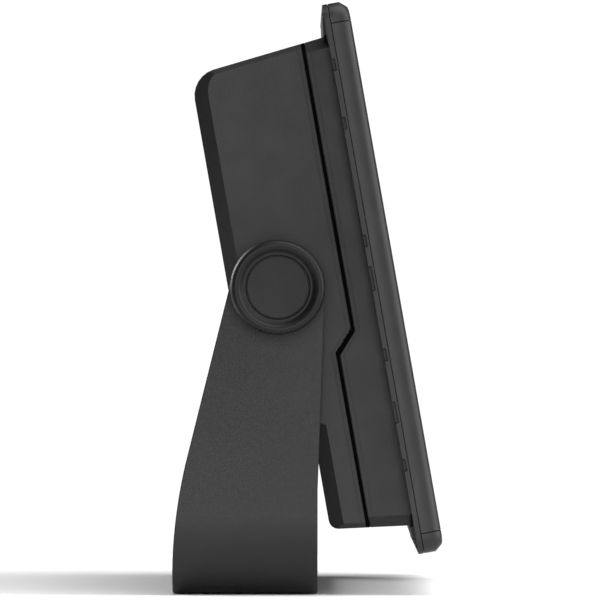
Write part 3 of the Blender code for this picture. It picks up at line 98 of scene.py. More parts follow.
class Recipe:
    """A small helper that adds nodes to one material and links them."""

    def __init__(self, name):
        self.material = bpy.data.materials.new(name)
        self.material.use_nodes = True
        self.tree = self.material.node_tree
        self.shader = self.tree.nodes["Principled BSDF"]
        self.place = self.add("ShaderNodeTexCoord").outputs["Object"]

    def add(self, kind, **settings):
        node = self.tree.nodes.new(kind)
        for key, value in settings.items():
            setattr(node, key, value)
        return node

    def link(self, source, target):
        self.tree.links.new(source, target)

    def noise(self, scale, detail=3.0, roughness=0.55, place=None):
        node = self.add("ShaderNodeTexNoise")
        node.inputs["Scale"].default_value = scale
        node.inputs["Detail"].default_value = detail
        node.inputs["Roughness"].default_value = roughness
        self.link(place or self.place, node.inputs["Vector"])
        return node.outputs["Fac"]

    def stretched(self, scale):
        node = self.add("ShaderNodeMapping")
        node.inputs["Scale"].default_value = scale
        self.link(self.place, node.inputs["Vector"])
        return node.outputs["Vector"]

    def remap(self, value, low, high, to_low, to_high):
        node = self.add("ShaderNodeMapRange")
        for key, number in (
            ("From Min", low),
            ("From Max", high),
            ("To Min", to_low),
            ("To Max", to_high),
        ):
            node.inputs[key].default_value = number
        self.link(value, node.inputs["Value"])
        return node.outputs["Result"]

    def mix(self, factor, first, second):
        """Blends two colours, each either a plain colour or another node's output."""
        node = self.add("ShaderNodeMix", data_type="RGBA")
        self.link(factor, node.inputs["Factor"])
        colours = [entry for entry in node.inputs if entry.type == "RGBA"]
        for target, value in zip(colours, (first, second)):
            if isinstance(value, tuple):
                target.default_value = (*value, 1.0)
            else:
                self.link(value, target)
        return [entry for entry in node.outputs if entry.type == "RGBA"][0]

    def combine(self, operation, first, second):
        node = self.add("ShaderNodeMath", operation=operation)
        for index, value in enumerate((first, second)):
            if isinstance(value, float):
                node.inputs[index].default_value = value
            else:
                self.link(value, node.inputs[index])
        return node.outputs[0]

    def plus(self, first, second):
        return self.combine("ADD", first, second)

    def times(self, first, second):
        return self.combine("MULTIPLY", first, second)

    def bump(self, height, distance):
        node = self.add("ShaderNodeBump")
        node.inputs["Distance"].default_value = distance
        self.link(height, node.inputs["Height"])
        self.link(node.outputs["Normal"], self.shader.inputs["Normal"])

    def edge_wear(self):
        """1 along convex edges, 0 elsewhere."""
        node = self.add("ShaderNodeNewGeometry")
        return self.remap(node.outputs["Pointiness"], 0.52, 0.60, 0.0, 1.0)

    def drive(self, socket, source):
        """Lets a node's output set one of the shader's values."""
        self.link(source, self.shader.inputs[socket])

    def fix(self, socket, value):
        """Gives one of the shader's values the same number all over the surface."""
        self.shader.inputs[socket].default_value = value


def moulded(name, level, roughness, grain=1400.0, variation=0.10, specular=MATTE_SPECULAR):
    """Matte moulded plastic: fine spark-eroded grain, faint mottling, edges rubbed a little lighter."""
    recipe = Recipe(name)
    mottle = recipe.noise(38.0, 4.0)
    low, high = grey(level * (1 - variation)), grey(level * (1 + variation))
    colour = recipe.mix(recipe.remap(mottle, 0.35, 0.65, 0.0, 1.0), low, high)
    edges = recipe.edge_wear()
    patches = recipe.remap(recipe.noise(160.0), 0.4, 0.7, 0.3, 1.0)
    rub = recipe.times(recipe.times(edges, patches), 0.18)
    recipe.drive("Base Color", recipe.mix(rub, colour, grey(level * 2.6)))
    fine = recipe.noise(grain, 2.0, 0.6)
    spread = recipe.remap(recipe.noise(90.0), 0.3, 0.7, roughness - 0.02, roughness + 0.02)
    recipe.drive("Roughness", spread)
    recipe.bump(fine, 0.00004)
    recipe.fix("Specular IOR Level", specular)
    return recipe.material


def powder_coat(name, level):
    """Powder-coated steel: orange-peel bumps over a fine sandy grain."""
    recipe = Recipe(name)
    mottle = recipe.remap(recipe.noise(24.0, 4.0), 0.35, 0.65, 0.0, 1.0)
    colour = recipe.mix(mottle, grey(level * 0.88), grey(level * 1.12))
    colour = recipe.mix(recipe.times(recipe.edge_wear(), 0.3), colour, grey(level * 2.4))
    recipe.drive("Base Color", colour)
    peel = recipe.noise(420.0, 2.0, 0.5)
    sand = recipe.noise(1900.0, 2.0, 0.6)
    recipe.bump(recipe.plus(peel, recipe.times(sand, 0.6)), 0.00005)
    recipe.drive("Roughness", recipe.remap(sand, 0.3, 0.7, 0.46, 0.58))
    recipe.fix("Specular IOR Level", MATTE_SPECULAR)
    return recipe.material


def rubber(name, level=0.012, ribs=0.0, specular=0.25):
    """Dull black rubber with a little dust, and with fine ribs where ribs is above 0."""
    recipe = Recipe(name)
    dust = recipe.remap(recipe.noise(60.0, 5.0), 0.45, 0.75, 0.0, 1.0)
    recipe.drive("Base Color", recipe.mix(dust, grey(level), grey(level * 2.2)))
    grain = recipe.noise(1100.0, 2.0)
    if ribs:
        wave = recipe.add("ShaderNodeTexWave", wave_type="BANDS", bands_direction="DIAGONAL")
        wave.inputs["Scale"].default_value = ribs
        recipe.link(recipe.place, wave.inputs["Vector"])
        grain = recipe.plus(grain, recipe.times(wave.outputs["Fac"], 3.0))
    recipe.bump(grain, 0.00006)
    recipe.drive("Roughness", recipe.remap(dust, 0.0, 1.0, 0.72, 0.9))
    recipe.fix("Specular IOR Level", specular)
    return recipe.material


def brushed(name, colour, roughness):
    """Metal with fine drawn lines along X and faint smudges."""
    recipe = Recipe(name)
    lines = recipe.noise(1.0, 3.0, 0.6, recipe.stretched((60.0, 2600.0, 2600.0)))
    contrast = 0.12
    dark = tuple(part * (1 - contrast) for part in colour)
    light = tuple(min(part * (1 + contrast), 1.0) for part in colour)
    recipe.drive("Base Color", recipe.mix(lines, dark, light))
    recipe.fix("Metallic", 1.0)
    smudge = recipe.noise(70.0, 4.0)
    recipe.drive("Roughness", recipe.remap(smudge, 0.3, 0.7, roughness - 0.06, roughness + 0.10))
    recipe.bump(lines, 0.00002)
    return recipe.material


def speckled(name, low, high, roughness, scale=500.0, depth=0.00003):
    """Any plain moulded or laminated material: two close colours in a fine mottle, with grain."""
    recipe = Recipe(name)
    mottle = recipe.remap(recipe.noise(scale, 4.0), 0.35, 0.65, 0.0, 1.0)
    recipe.drive("Base Color", recipe.mix(mottle, low, high))
    spread = recipe.remap(recipe.noise(80.0), 0.3, 0.7, roughness - 0.05, roughness + 0.07)
    recipe.drive("Roughness", spread)
    recipe.bump(recipe.noise(scale * 3, 2.0), depth)
    return recipe.material


def circuit_board(name):
    """Solder mask over a pattern of traces and pads."""
    recipe = Recipe(name)
    cells = recipe.add("ShaderNodeTexVoronoi", feature="DISTANCE_TO_EDGE", distance="CHEBYCHEV")
    cells.inputs["Scale"].default_value = 190.0
    recipe.link(recipe.place, cells.inputs["Vector"])
    traces = recipe.remap(cells.outputs["Distance"], 0.03, 0.06, 1.0, 0.0)
    mask = recipe.mix(traces, (0.010, 0.085, 0.034), (0.018, 0.150, 0.060))
    pads = recipe.add("ShaderNodeTexVoronoi")
    pads.inputs["Scale"].default_value = 330.0
    recipe.link(recipe.place, pads.inputs["Vector"])
    dots = recipe.remap(pads.outputs["Distance"], 0.14, 0.18, 1.0, 0.0)
    recipe.drive("Base Color", recipe.mix(dots, mask, (0.62, 0.50, 0.26)))
    recipe.bump(recipe.plus(traces, dots), 0.00005)
    recipe.fix("Roughness", 0.35)
    return recipe.material


def screen_glass(name, half_x, low, high):
    """Black-bordered cover glass: the switched-off picture area is a little lighter than the border."""
    recipe = Recipe(name)
    split = recipe.add("ShaderNodeSeparateXYZ")
    recipe.link(recipe.place, split.inputs["Vector"])
    up = split.outputs["Z"]
    across = recipe.add("ShaderNodeMath", operation="ABSOLUTE")
    recipe.link(split.outputs["X"], across.inputs[0])
    soft = 0.4 * MM
    inside_x = recipe.remap(across.outputs[0], half_x - soft, half_x, 1.0, 0.0)
    inside_low = recipe.remap(up, low, low + soft, 0.0, 1.0)
    inside_high = recipe.remap(up, high - soft, high, 1.0, 0.0)
    area = recipe.times(recipe.times(inside_x, inside_low), inside_high)
    border = recipe.mix(recipe.noise(50.0), (0.0030, 0.0030, 0.0034), (0.0042, 0.0042, 0.0048))
    picture = recipe.mix(recipe.noise(14.0, 2.0), (0.0095, 0.0105, 0.0135), (0.0125, 0.0135, 0.0170))
    recipe.drive("Base Color", recipe.mix(area, border, picture))
    smears = recipe.noise(26.0, 5.0, 0.6)
    recipe.drive("Roughness", recipe.remap(smears, 0.3, 0.7, 0.055, 0.068))
    recipe.bump(recipe.noise(9.0, 1.0), 0.00001)
    return recipe.material


TRIM = moulded("trim_plastic", 0.014, 0.46, grain=1700.0)
HOUSING = moulded("housing_plastic", 0.012, 0.50, variation=0.06)
FRAME_RIM = moulded("frame_plastic", 0.013, 0.50)
KNOB = moulded("knob_plastic", 0.008, 0.46, grain=1500.0, specular=0.20)
KEYS = moulded("key_plastic", 0.070, 0.48)
STAND = powder_coat("powder_coated_steel", 0.013)
SOFT = rubber("soft_rubber")
PAD = rubber("ribbed_pad", 0.014, ribs=230.0)
# The seal is black rubber, but its tone is set ten times darker than the other rubber and its sheen
# almost off. That extra darkness is painted shade, so the joint's groove and the hollows by the pivots
# read as deep shadow.
SEAL_PAINTED_SHADE = rubber("seal_rubber_painted_shade", 0.0012, specular=0.02)
STEEL = brushed("zinc_plated_steel", (0.50, 0.51, 0.52), 0.34)
DARK_STEEL = brushed("blackened_steel", (0.060, 0.061, 0.064), 0.42)
BRASS = brushed("brass", (0.70, 0.50, 0.22), 0.30)
ALUMINIUM = brushed("aluminium_sheet", (0.66, 0.67, 0.68), 0.38)
NYLON = speckled("nylon", (0.66, 0.65, 0.60), (0.74, 0.73, 0.68), 0.50)
DARK = speckled("dark_plastic", grey(0.014), grey(0.022), 0.45)
LCD = speckled("lcd_cell", grey(0.018), grey(0.028), 0.16, 900.0, 0.00001)
DIFFUSER = speckled("diffuser", (0.74, 0.74, 0.72), (0.82, 0.82, 0.80), 0.42)
RIBBON = speckled("ribbon_film", (0.44, 0.24, 0.05), (0.58, 0.33, 0.08), 0.36)
CARD = speckled("card_plastic", (0.030, 0.045, 0.095), (0.040, 0.058, 0.120), 0.42)
BOARD = circuit_board("circuit_board")
MARK = speckled("key_mark", (0.50, 0.50, 0.49), (0.58, 0.58, 0.57), 0.55)
MESH_CLOTH = speckled("speaker_mesh", grey(0.006), grey(0.030), 0.8, 1300.0, 0.0001)

# The look of each CAD node by the start of its name; the first that fits is taken
LOOKS = {
    "arm_bush": NYLON,
    "backlight": DIFFUSER,
    "bail_stand": STAND,
    "base_pad": PAD,
    "board_screw": STEEL,
    "card_socket": STEEL,
    "chassis_plate": ALUMINIUM,
    "cover_screw": DARK_STEEL,
    "dc_inlet": DARK,
    "display_ribbon": RIBBON,
    "friction_washer": SOFT,
    "front_frame": FRAME_RIM,
    "glass_gasket": SOFT,
    "heat_sink": ALUMINIUM,
    # the housing seal takes the near-black seal material, partly real black rubber and partly painted
    # shade for the joint's groove
    "housing_seal": SEAL_PAINTED_SHADE,
    "key_board": BOARD,
    "key_": KEYS,
    "knob_stud": STEEL,
    "knob_": KNOB,
    "lcd_panel": LCD,
    "main_board": BOARD,
    "memory_card": CARD,
    "mid_body": HOUSING,
    "outer_washer": DARK_STEEL,
    "power_button": KEYS,
    "processor": DARK,
    "rear_cover": HOUSING,
    "speaker_": DARK,
    "switch_": DARK,
    "thermal_pad": SOFT,
    "threaded_insert": BRASS,
    "trim_": TRIM,
    "usb_socket": STEEL,
}


def look_of(node):
    for start, material in LOOKS.items():
        if node.startswith(start):
            return material
    return DARK


# ---------------------------------------------------------------- mesh helpers


def dress(piece, material):
    piece.data.materials.clear()
    piece.data.materials.append(material)


def add_piece(name, shape, material, body, matrix=None, own_axes=False):
    """Turns a bmesh into a piece of the object that rides on a body."""
    mesh = bpy.data.meshes.new(name)
    bmesh.ops.recalc_face_normals(shape, faces=shape.faces)
    if matrix is not None and not own_axes:
        bmesh.ops.transform(shape, matrix=matrix, verts=shape.verts)
    shape.to_mesh(mesh)
    shape.free()
    piece = bpy.data.objects.new(name, mesh)
    if own_axes:
        piece.matrix_world = matrix
    bpy.context.scene.collection.objects.link(piece)
    bpy.context.view_layer.update()
    dress(piece, material)
    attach(piece, body)
    return piece


def smooth(piece, angle):
    """Smooth shading, with edges sharper than the angle kept sharp."""
    piece.data.shade_smooth()
    piece.data.set_sharp_from_angle(angle=math.radians(angle))


def flatten(piece, keep_sharp):
    """Keeps flat faces flat in the shading, whatever their neighbours are."""
    modifier = piece.modifiers.new("flat faces", "WEIGHTED_NORMAL")
    modifier.mode = "FACE_AREA"
    modifier.weight = 50
    modifier.keep_sharp = keep_sharp


def soften(piece, width, segments, angle=38.0):
    """Small rounded edges, with flat faces kept flat in the shading."""
    piece.data.shade_smooth()
    bevel = piece.modifiers.new("edges", "BEVEL")
    bevel.width = width
    bevel.segments = segments
    bevel.limit_method = "ANGLE"
    bevel.angle_limit = math.radians(angle)
    bevel.use_clamp_overlap = False
    bevel.miter_outer = "MITER_ARC"
    flatten(piece, False)


def crisp(piece):
    """Sharp edges between flat faces, smooth shading along curves."""
    smooth(piece, 30.0)
    flatten(piece, True)


def wall_between(shape, first, second):
    """Joins two rings of vertices, point by point, all the way round."""
    count = len(first)
    for index in range(count):
        after = (index + 1) % count
        shape.faces.new((first[index], first[after], second[after], second[index]))


def solid_between(shape, first, second):
    """A solid between two rings of vertices: the wall round it and both ends."""
    wall_between(shape, first, second)
    shape.faces.new(first)
    shape.faces.new(second)


def block(middle, size):
    shape = bmesh.new()
    bmesh.ops.create_cube(shape, size=1.0)
    bmesh.ops.scale(shape, vec=size, verts=shape.verts)
    bmesh.ops.translate(shape, vec=middle, verts=shape.verts)
    return shape


def on_circle(radius, angle):
    """Place on a circle; the radius is in millimetres, the place in metres."""
    return radius * MM * math.cos(angle), radius * MM * math.sin(angle)


def refined(node, width, segments, in_head=True, swell=0.0):
    """A detailed copy of a CAD node: clean flat faces and small rounded edges."""
    source = NODES[node]
    shape = bmesh.new()
    shape.from_mesh(source.data)
    bmesh.ops.remove_doubles(shape, verts=shape.verts, dist=MERGE)
    bmesh.ops.dissolve_limit(
        shape, angle_limit=FLAT_WITHIN, verts=shape.verts, edges=shape.edges
    )
    matrix = HEAD if in_head else None
    if in_head:
        bmesh.ops.transform(shape, matrix=TO_HEAD, verts=shape.verts)
    if swell:
        shape.normal_update()
        moves = [vertex.normal * vertex.calc_shell_factor() * swell for vertex in shape.verts]
        for vertex, move in zip(shape.verts, moves):
            vertex.co += move
    piece = add_piece(
        node + "_shell",
        shape,
        look_of(node),
        source["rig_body"],
        matrix,
        own_axes=node == "cover_glass",
    )
    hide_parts(node)
    if width:
        soften(piece, width, segments)
    else:
        crisp(piece)


# ---------------------------------------------------------------- floor, light and camera

FLOOR_SIZE = 1.0
FLOOR_DROP = 0.00005
# The camera sees a white background that is brighter than the light it gives
BACKGROUND_STRENGTH = 1.05
WORLD_FILL = 0.03
WHITE = (1.0, 1.0, 1.0, 1.0)
# The picture shows VIEW_HEIGHT at NEAR_SIDE, the distance from AIM to the knob side, in metres
VIEW_HEIGHT = 0.228
NEAR_SIDE = 0.150
AIM = Vector((0.0, -0.0210, 0.1123))
CAMERA_DISTANCE = 4.2
SENSOR = 36.0


def make_floor():
    shape = bmesh.new()
    bmesh.ops.create_grid(shape, x_segments=1, y_segments=1, size=FLOOR_SIZE / 2)
    mesh = bpy.data.meshes.new("floor")
    shape.to_mesh(mesh)
    shape.free()
    floor = bpy.data.objects.new("floor", mesh)
    floor.location.z = -FLOOR_DROP
    bpy.context.scene.collection.objects.link(floor)
    recipe = Recipe("floor")
    colour = recipe.mix(recipe.noise(3.0), (0.90, 0.90, 0.90), (0.93, 0.93, 0.93))
    recipe.drive("Base Color", colour)
    recipe.fix("Roughness", 0.9)
    recipe.fix("Specular IOR Level", 0.1)
    dress(floor, recipe.material)


def make_world():
    world = bpy.data.worlds.new("studio")
    bpy.context.scene.world = world
    world.use_nodes = True
    tree = world.node_tree
    seen = tree.nodes["Background"]
    seen.inputs["Color"].default_value = WHITE
    seen.inputs["Strength"].default_value = BACKGROUND_STRENGTH
    fill = tree.nodes.new("ShaderNodeBackground")
    fill.inputs["Color"].default_value = WHITE
    fill.inputs["Strength"].default_value = WORLD_FILL
    rays = tree.nodes.new("ShaderNodeLightPath")
    blend = tree.nodes.new("ShaderNodeMixShader")
    tree.links.new(rays.outputs["Is Camera Ray"], blend.inputs["Fac"])
    tree.links.new(fill.outputs[0], blend.inputs[1])
    tree.links.new(seen.outputs[0], blend.inputs[2])
    tree.links.new(blend.outputs[0], tree.nodes["World Output"].inputs["Surface"])
    bpy.context.scene.view_settings.view_transform = "Standard"


# Name, direction from the object, distance and size in metres, power in watts
LIGHTS = (
    ("side_softbox", (-1.0, -0.04, 0.10), 2.2, 1.0, 20.5),
    ("overhead_softbox", (-0.30, -0.40, 1.0), 2.4, 2.6, 88.0),
    ("front_softbox", (-0.27, -1.0, 0.25), 2.4, 1.6, 46.0),
    ("rear_softbox", (1.0, 0.95, 0.45), 2.6, 1.2, 46.0),
)


def make_lights():
    for name, direction, distance, size, power in LIGHTS:
        light = bpy.data.lights.new(name, "AREA")
        light.shape = "SQUARE"
        light.size = size
        light.energy = power
        lamp = bpy.data.objects.new(name, light)
        away = Vector(direction).normalized()
        lamp.location = AIM + away * distance
        lamp.rotation_euler = away.to_track_quat("Z", "Y").to_euler()
        bpy.context.scene.collection.objects.link(lamp)


def make_camera():
    camera = bpy.data.objects.new("camera", bpy.data.cameras.new("camera"))
    camera.data.sensor_width = SENSOR
    camera.data.lens = SENSOR * (CAMERA_DISTANCE - NEAR_SIDE) / VIEW_HEIGHT
    camera.data.clip_end = 50.0
    camera.location = AIM + Vector((-CAMERA_DISTANCE, 0.0, 0.0))
    camera.rotation_euler = (math.radians(90.0), 0.0, math.radians(-90.0))
    bpy.context.scene.collection.objects.link(camera)
    bpy.context.scene.camera = camera


# ---------------------------------------------------------------- front trims

# Section of the trims: (distance in from the outline, depth from the front), in millimetres
TRIM_SECTION = (
    (0.0, 7.72),
    (0.0, 3.40),
    (2.05, 0.92),
    (2.60, 0.50),
    (3.60, 0.22),
    (5.20, 0.08),
    (7.2, 0.02),
    (7.6, 0.30),
    (7.65, 2.40),
    (2.40, 2.60),
    (2.30, 7.72),
)
# Radius of the outline's corners and width of the seams between the trims, in millimetres
CORNER = 6.0
SEAM = 0.28
CORNER_STEPS = 12


def inset_outline(box_low, box_high, inset):
    """The head's round-cornered outline moved inward, always with the same number of points."""
    radius = max(CORNER * MM - inset, 0.05 * MM)
    low_x, high_x = box_low.x + inset, box_high.x - inset
    low_z, high_z = box_low.z + inset, box_high.z - inset
    corners = (
        (high_x - radius, high_z - radius, 0.0),
        (low_x + radius, high_z - radius, 90.0),
        (low_x + radius, low_z + radius, 180.0),
        (high_x - radius, low_z + radius, 270.0),
    )
    points = []
    for x, z, start in corners:
        for index in range(CORNER_STEPS + 1):
            angle = math.radians(start + 90.0 * index / CORNER_STEPS)
            points.append((x + radius * math.cos(angle), z + radius * math.sin(angle)))
    return points


def trim_ring(box_low, box_high, front_y):
    """A closed ring: the trim's section swept round the outline."""
    shape = bmesh.new()
    loops = []
    for inset, depth in TRIM_SECTION:
        outline = inset_outline(box_low, box_high, inset * MM)
        loops.append([shape.verts.new((x, front_y + depth * MM, z)) for x, z in outline])
    for first, second in zip(loops, loops[1:] + loops[:1]):
        wall_between(shape, first, second)
    bmesh.ops.recalc_face_normals(shape, faces=shape.faces)
    return shape


def keep_side(shape, place, normal):
    """Cuts the shape at a plane, keeps the side the normal points away from, and caps it."""
    geometry = shape.verts[:] + shape.edges[:] + shape.faces[:]
    bmesh.ops.bisect_plane(
        shape, geom=geometry, plane_co=place, plane_no=normal, clear_outer=True, dist=MERGE / 10
    )
    open_edges = [edge for edge in shape.edges if edge.is_boundary]
    bmesh.ops.holes_fill(shape, edges=open_edges)


def make_trims():
    top_low, top_high = local_box("trim_top")
    bottom_low, bottom_high = local_box("trim_bottom")
    low = Vector((top_low.x, top_low.y, bottom_low.z))
    high = Vector((top_high.x, top_high.y, top_high.z))
    front = top_low.y
    upper_seam, lower_seam = top_low.z, bottom_high.z
    below_top = ((0, 0, upper_seam - SEAM * MM), (0, 0, 1))
    above_bottom = ((0, 0, lower_seam + SEAM * MM), (0, 0, -1))
    # Cutting planes: a place on each and the direction of the side that is cut off
    cuts = {
        "top": (((0, 0, upper_seam), (0, 0, -1)),),
        "bottom": (((0, 0, lower_seam), (0, 0, 1)),),
        "left": (below_top, above_bottom, ((0, 0, 0), (1, 0, 0))),
        "right": (below_top, above_bottom, ((0, 0, 0), (-1, 0, 0))),
    }
    for word, planes in cuts.items():
        shape = trim_ring(low, high, front)
        for place, normal in planes:
            keep_side(shape, place, normal)
        node = "trim_" + word
        piece = add_piece(node + "_shell", shape, TRIM, "head", HEAD)
        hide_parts(node)
        soften(piece, 0.10 * MM, 1, 40.0)


# ---------------------------------------------------------------- lips along the joint and the rim

# Across the joint's edge: (distance forward of the edge, height), in millimetres
LIP_SECTION = ((0.0, -0.4), (0.0, 0.10), (0.25, 0.26), (0.6, 0.30), (2.1, 0.02), (2.1, -0.4))
COVER_LIP_SECTION = ((0.0, -0.4), (0.0, 0.06), (-0.3, 0.16), (-0.8, 0.18), (-1.9, 0.02), (-1.9, -0.4))

# Below this height in the head's frame, the joint runs on its lower line
LOWER_RUN = -0.05

# The bulge of the seal in the hollow, in millimetres
HOLLOW_REACH = 2.5
BULGE_UNDER = 0.2
BULGE_END_GAP = 0.3
BULGE_REAR_GAP = 0.1
BULGE_DEPTHS = (1.55, 0.75)

# The flanges between the mid body's sides and the rim, in millimetres
SEAT_INNER = 1.5
SEAT_OUTER = 0.01
SEAT_THICKNESS = 0.6
SEAT_FORWARD = 0.15
SEAT_END_GAP = 4.5


def swept(path, section, side, base):
    """A section of (distance in y, height in x) drawn along a path of (y, z) on one side face."""
    shape = bmesh.new()
    rings = []
    for y, z in path:
        places = [(side * (base + height * MM), y - ahead * MM, z) for ahead, height in section]
        rings.append([shape.verts.new(place) for place in places])
    for ring, after in zip(rings, rings[1:]):
        wall_between(shape, ring, after)
    shape.faces.new(rings[0])
    shape.faces.new(rings[-1])
    return shape


def joint_path(node, pick_rear):
    """The four corners of a housing half's joint edge on its side face, from top to bottom."""
    half_x = local_box(node)[1].x
    places = [TO_HEAD @ vertex.co for vertex in NODES[node].data.vertices]
    edge = [(place.y, place.z) for place in places if place.x > half_x - MERGE]
    pick = max if pick_rear else min
    upper_y = pick(y for y, z in edge if z > 0)
    lower_y = pick(y for y, z in edge if z < LOWER_RUN)
    upper = [z for y, z in edge if abs(y - upper_y) < MERGE]
    lower = [z for y, z in edge if abs(y - lower_y) < MERGE]
    return half_x, [
        (upper_y, max(upper)),
        (upper_y, min(upper)),
        (lower_y, max(lower)),
        (lower_y, min(lower)),
    ]


def make_lips():
    for node, section, pick_rear in (
        ("mid_body", LIP_SECTION, True),
        ("rear_cover", COVER_LIP_SECTION, False),
    ):
        half_x, path = joint_path(node, pick_rear)
        for word, side in SIDES:
            shape = swept(path, section, side, half_x)
            lip = add_piece(f"{node}_lip_{word}", shape, HOUSING, "head", HEAD)
            smooth(lip, 50.0)


def make_hollow_seals():
    """The part of the seal that shows in the hollow beside each pivot; its near-black, almost sheenless
    seal material is painted shade for the hollow.
    """
    half_x, path = joint_path("rear_cover", False)
    places = [TO_HEAD @ vertex.co for vertex in NODES["rear_cover"].data.vertices]
    near = path[0][0]
    ends = [
        (place.y, place.z)
        for place in places
        if abs(place.x - half_x) < MERGE and near - MERGE < place.y < near + HOLLOW_REACH * MM
    ]
    far = max(y for y, z in ends)
    wide = [z for y, z in ends if abs(y - far) < MERGE]
    mouth = sorted(z for y, z in ends if abs(y - near) < MERGE)[1:3]
    bottom, top = mouth[0] + BULGE_END_GAP * MM, mouth[1] - BULGE_END_GAP * MM
    under, rear = near - BULGE_UNDER * MM, far - BULGE_REAR_GAP * MM
    outline = [
        (under, bottom),
        (near, bottom),
        (rear, min(wide)),
        (rear, max(wide)),
        (near, top),
        (under, top),
    ]
    for word, side in SIDES:
        shape = bmesh.new()
        rings = [
            [shape.verts.new((side * (half_x - depth * MM), y, z)) for y, z in outline]
            for depth in BULGE_DEPTHS
        ]
        solid_between(shape, *rings)
        add_piece("seal_bulge_" + word, shape, SEAL_PAINTED_SHADE, "head", HEAD)


def make_rim_seats():
    """Thin flanges that close the gap between the mid body's sides and the rim."""
    low, high = local_box("mid_body")
    for word, side in SIDES:
        ends = (side * (high.x - SEAT_INNER * MM), side * (high.x - SEAT_OUTER * MM))
        inner, outer = sorted(ends)
        top, bottom = high.z - SEAT_END_GAP * MM, low.z + SEAT_END_GAP * MM
        size = (outer - inner, SEAT_THICKNESS * MM, top - bottom)
        middle = ((outer + inner) / 2, low.y - SEAT_FORWARD * MM, (top + bottom) / 2)
        shape = block(middle, size)
        add_piece("rim_seat_" + word, shape, HOUSING, "head", HEAD)


# ---------------------------------------------------------------- clamp knobs

# Clamp knobs, in millimetres; the recess holds the head of the stud
TURN_STEPS = 128
KNOB_BORE = 3.15
RECESS_RADIUS = 6.3
RECESS_DEPTH = 3.7
CAP_CLEARANCE = 0.3
CAP_DISH = 0.3
DISH_RINGS = 8


def turn(name, profile, body, side, node):
    """A piece turned about the pivot axis. Profile: (radius, distance outward) in millimetres."""
    shape = bmesh.new()
    angles = [2 * math.pi * index / TURN_STEPS for index in range(TURN_STEPS)]
    rings = []
    for radius, out in profile:
        if radius == 0.0:
            rings.append([shape.verts.new((side * out * MM, 0.0, 0.0))])
            continue
        places = [(side * out * MM, *on_circle(radius, angle)) for angle in angles]
        rings.append([shape.verts.new(place) for place in places])
    for first, second in zip(rings, rings[1:] + rings[:1]):
        if len(first) == 1 and len(second) == 1:
            continue
        if len(first) == len(second):
            wall_between(shape, first, second)
            continue
        for index in range(TURN_STEPS):
            after = (index + 1) % TURN_STEPS
            if len(first) == 1:
                shape.faces.new((first[0], second[index], second[after]))
            else:
                shape.faces.new((first[index], second[0], first[after]))
    piece = add_piece(name, shape, KNOB, body, Matrix.Translation(PIVOT))
    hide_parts(node)
    smooth(piece, 40.0)


def rounded_profile(points, steps=5):
    """Replaces each (radius, out, rounding) corner of a profile by a small arc."""
    profile = []
    count = len(points)
    for index, (x, y, rounding) in enumerate(points):
        here = Vector((x, y))
        before = Vector(points[index - 1][:2])
        after = Vector(points[(index + 1) % count][:2])
        if rounding <= 0.0:
            profile.append((x, y))
            continue
        start = here + (before - here).normalized() * rounding
        end = here + (after - here).normalized() * rounding
        for step in range(steps + 1):
            t = step / steps
            point = start * (1 - t) ** 2 + here * 2 * t * (1 - t) + end * t ** 2
            profile.append((point.x, point.y))
    return profile


def turned_size(node):
    """Near end, far end and radius of a turned CAD node, in millimetres."""
    low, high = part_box(node)
    near, far = sorted((abs(low.x), abs(high.x)))
    return near / MM, far / MM, (high.z - low.z) / 2 / MM


def knob_profile(near, far, radius, cap_near, cap_radius, recess_floor):
    """Grip, dished face, seat of the cap, recess and bore, as (radius, out, rounding)."""
    recess_mouth = cap_near - CAP_CLEARANCE
    return rounded_profile(
        [
            (radius - 0.9, near, 0.4),
            (radius, near + 1.2, 0.6),
            (radius, far - 3.4, 2.0),
            (radius - 0.7, far, 1.6),
            (radius - 3.2, far, 1.2),
            (radius - 4.7, far - 2.0, 0.6),
            (radius - 5.8, far - 1.9, 0.4),
            (cap_radius + 0.35, far - 2.6, 0.3),
            (cap_radius + 0.30, recess_mouth, 0.0),
            (RECESS_RADIUS, recess_mouth, 0.0),
            (RECESS_RADIUS, recess_floor, 0.0),
            (KNOB_BORE, recess_floor, 0.0),
            (KNOB_BORE, near, 0.2),
        ]
    )


def cap_profile(near, far, radius):
    """A flat cap with a small edge and a slightly dished face."""
    profile = [(radius, near), (radius, far - 0.2), (radius - 0.2, far)]
    for index in range(1, DISH_RINGS + 1):
        ring = (radius - 0.3) * (1 - index / DISH_RINGS)
        profile.append((ring, far - CAP_DISH * (1 - (ring / radius) ** 2)))
    profile.append((0.0, near))
    return profile


def make_knobs():
    for word, side in SIDES:
        near, far, radius = turned_size("knob_" + word)
        cap_near, cap_far, cap_radius = turned_size("knob_cap_" + word)
        recess_floor = turned_size("knob_stud_" + word)[1] - RECESS_DEPTH
        body = word + "_knob"
        profile = knob_profile(near, far, radius, cap_near, cap_radius, recess_floor)
        turn(body + "_shell", profile, body, side, "knob_" + word)
        profile = cap_profile(cap_near, cap_far, cap_radius)
        turn("knob_cap_shell_" + word, profile, body, side, "knob_cap_" + word)


# ---------------------------------------------------------------- key symbols and speaker cloth


def rectangle(low_x, low_z, high_x, high_z):
    return [(low_x, low_z), (high_x, low_z), (high_x, high_z), (low_x, high_z)]


def open_ring(inner, outer, start, end, steps=20):
    """A ring with a gap, in short pieces, angles in degrees."""
    pieces = []
    for index in range(steps):
        a, b = (math.radians(start + (end - start) * (index + k) / steps) for k in (0, 1))
        pieces.append(
            [
                (inner * math.cos(a), inner * math.sin(a)),
                (outer * math.cos(a), outer * math.sin(a)),
                (outer * math.cos(b), outer * math.sin(b)),
                (inner * math.cos(b), inner * math.sin(b)),
            ]
        )
    return pieces


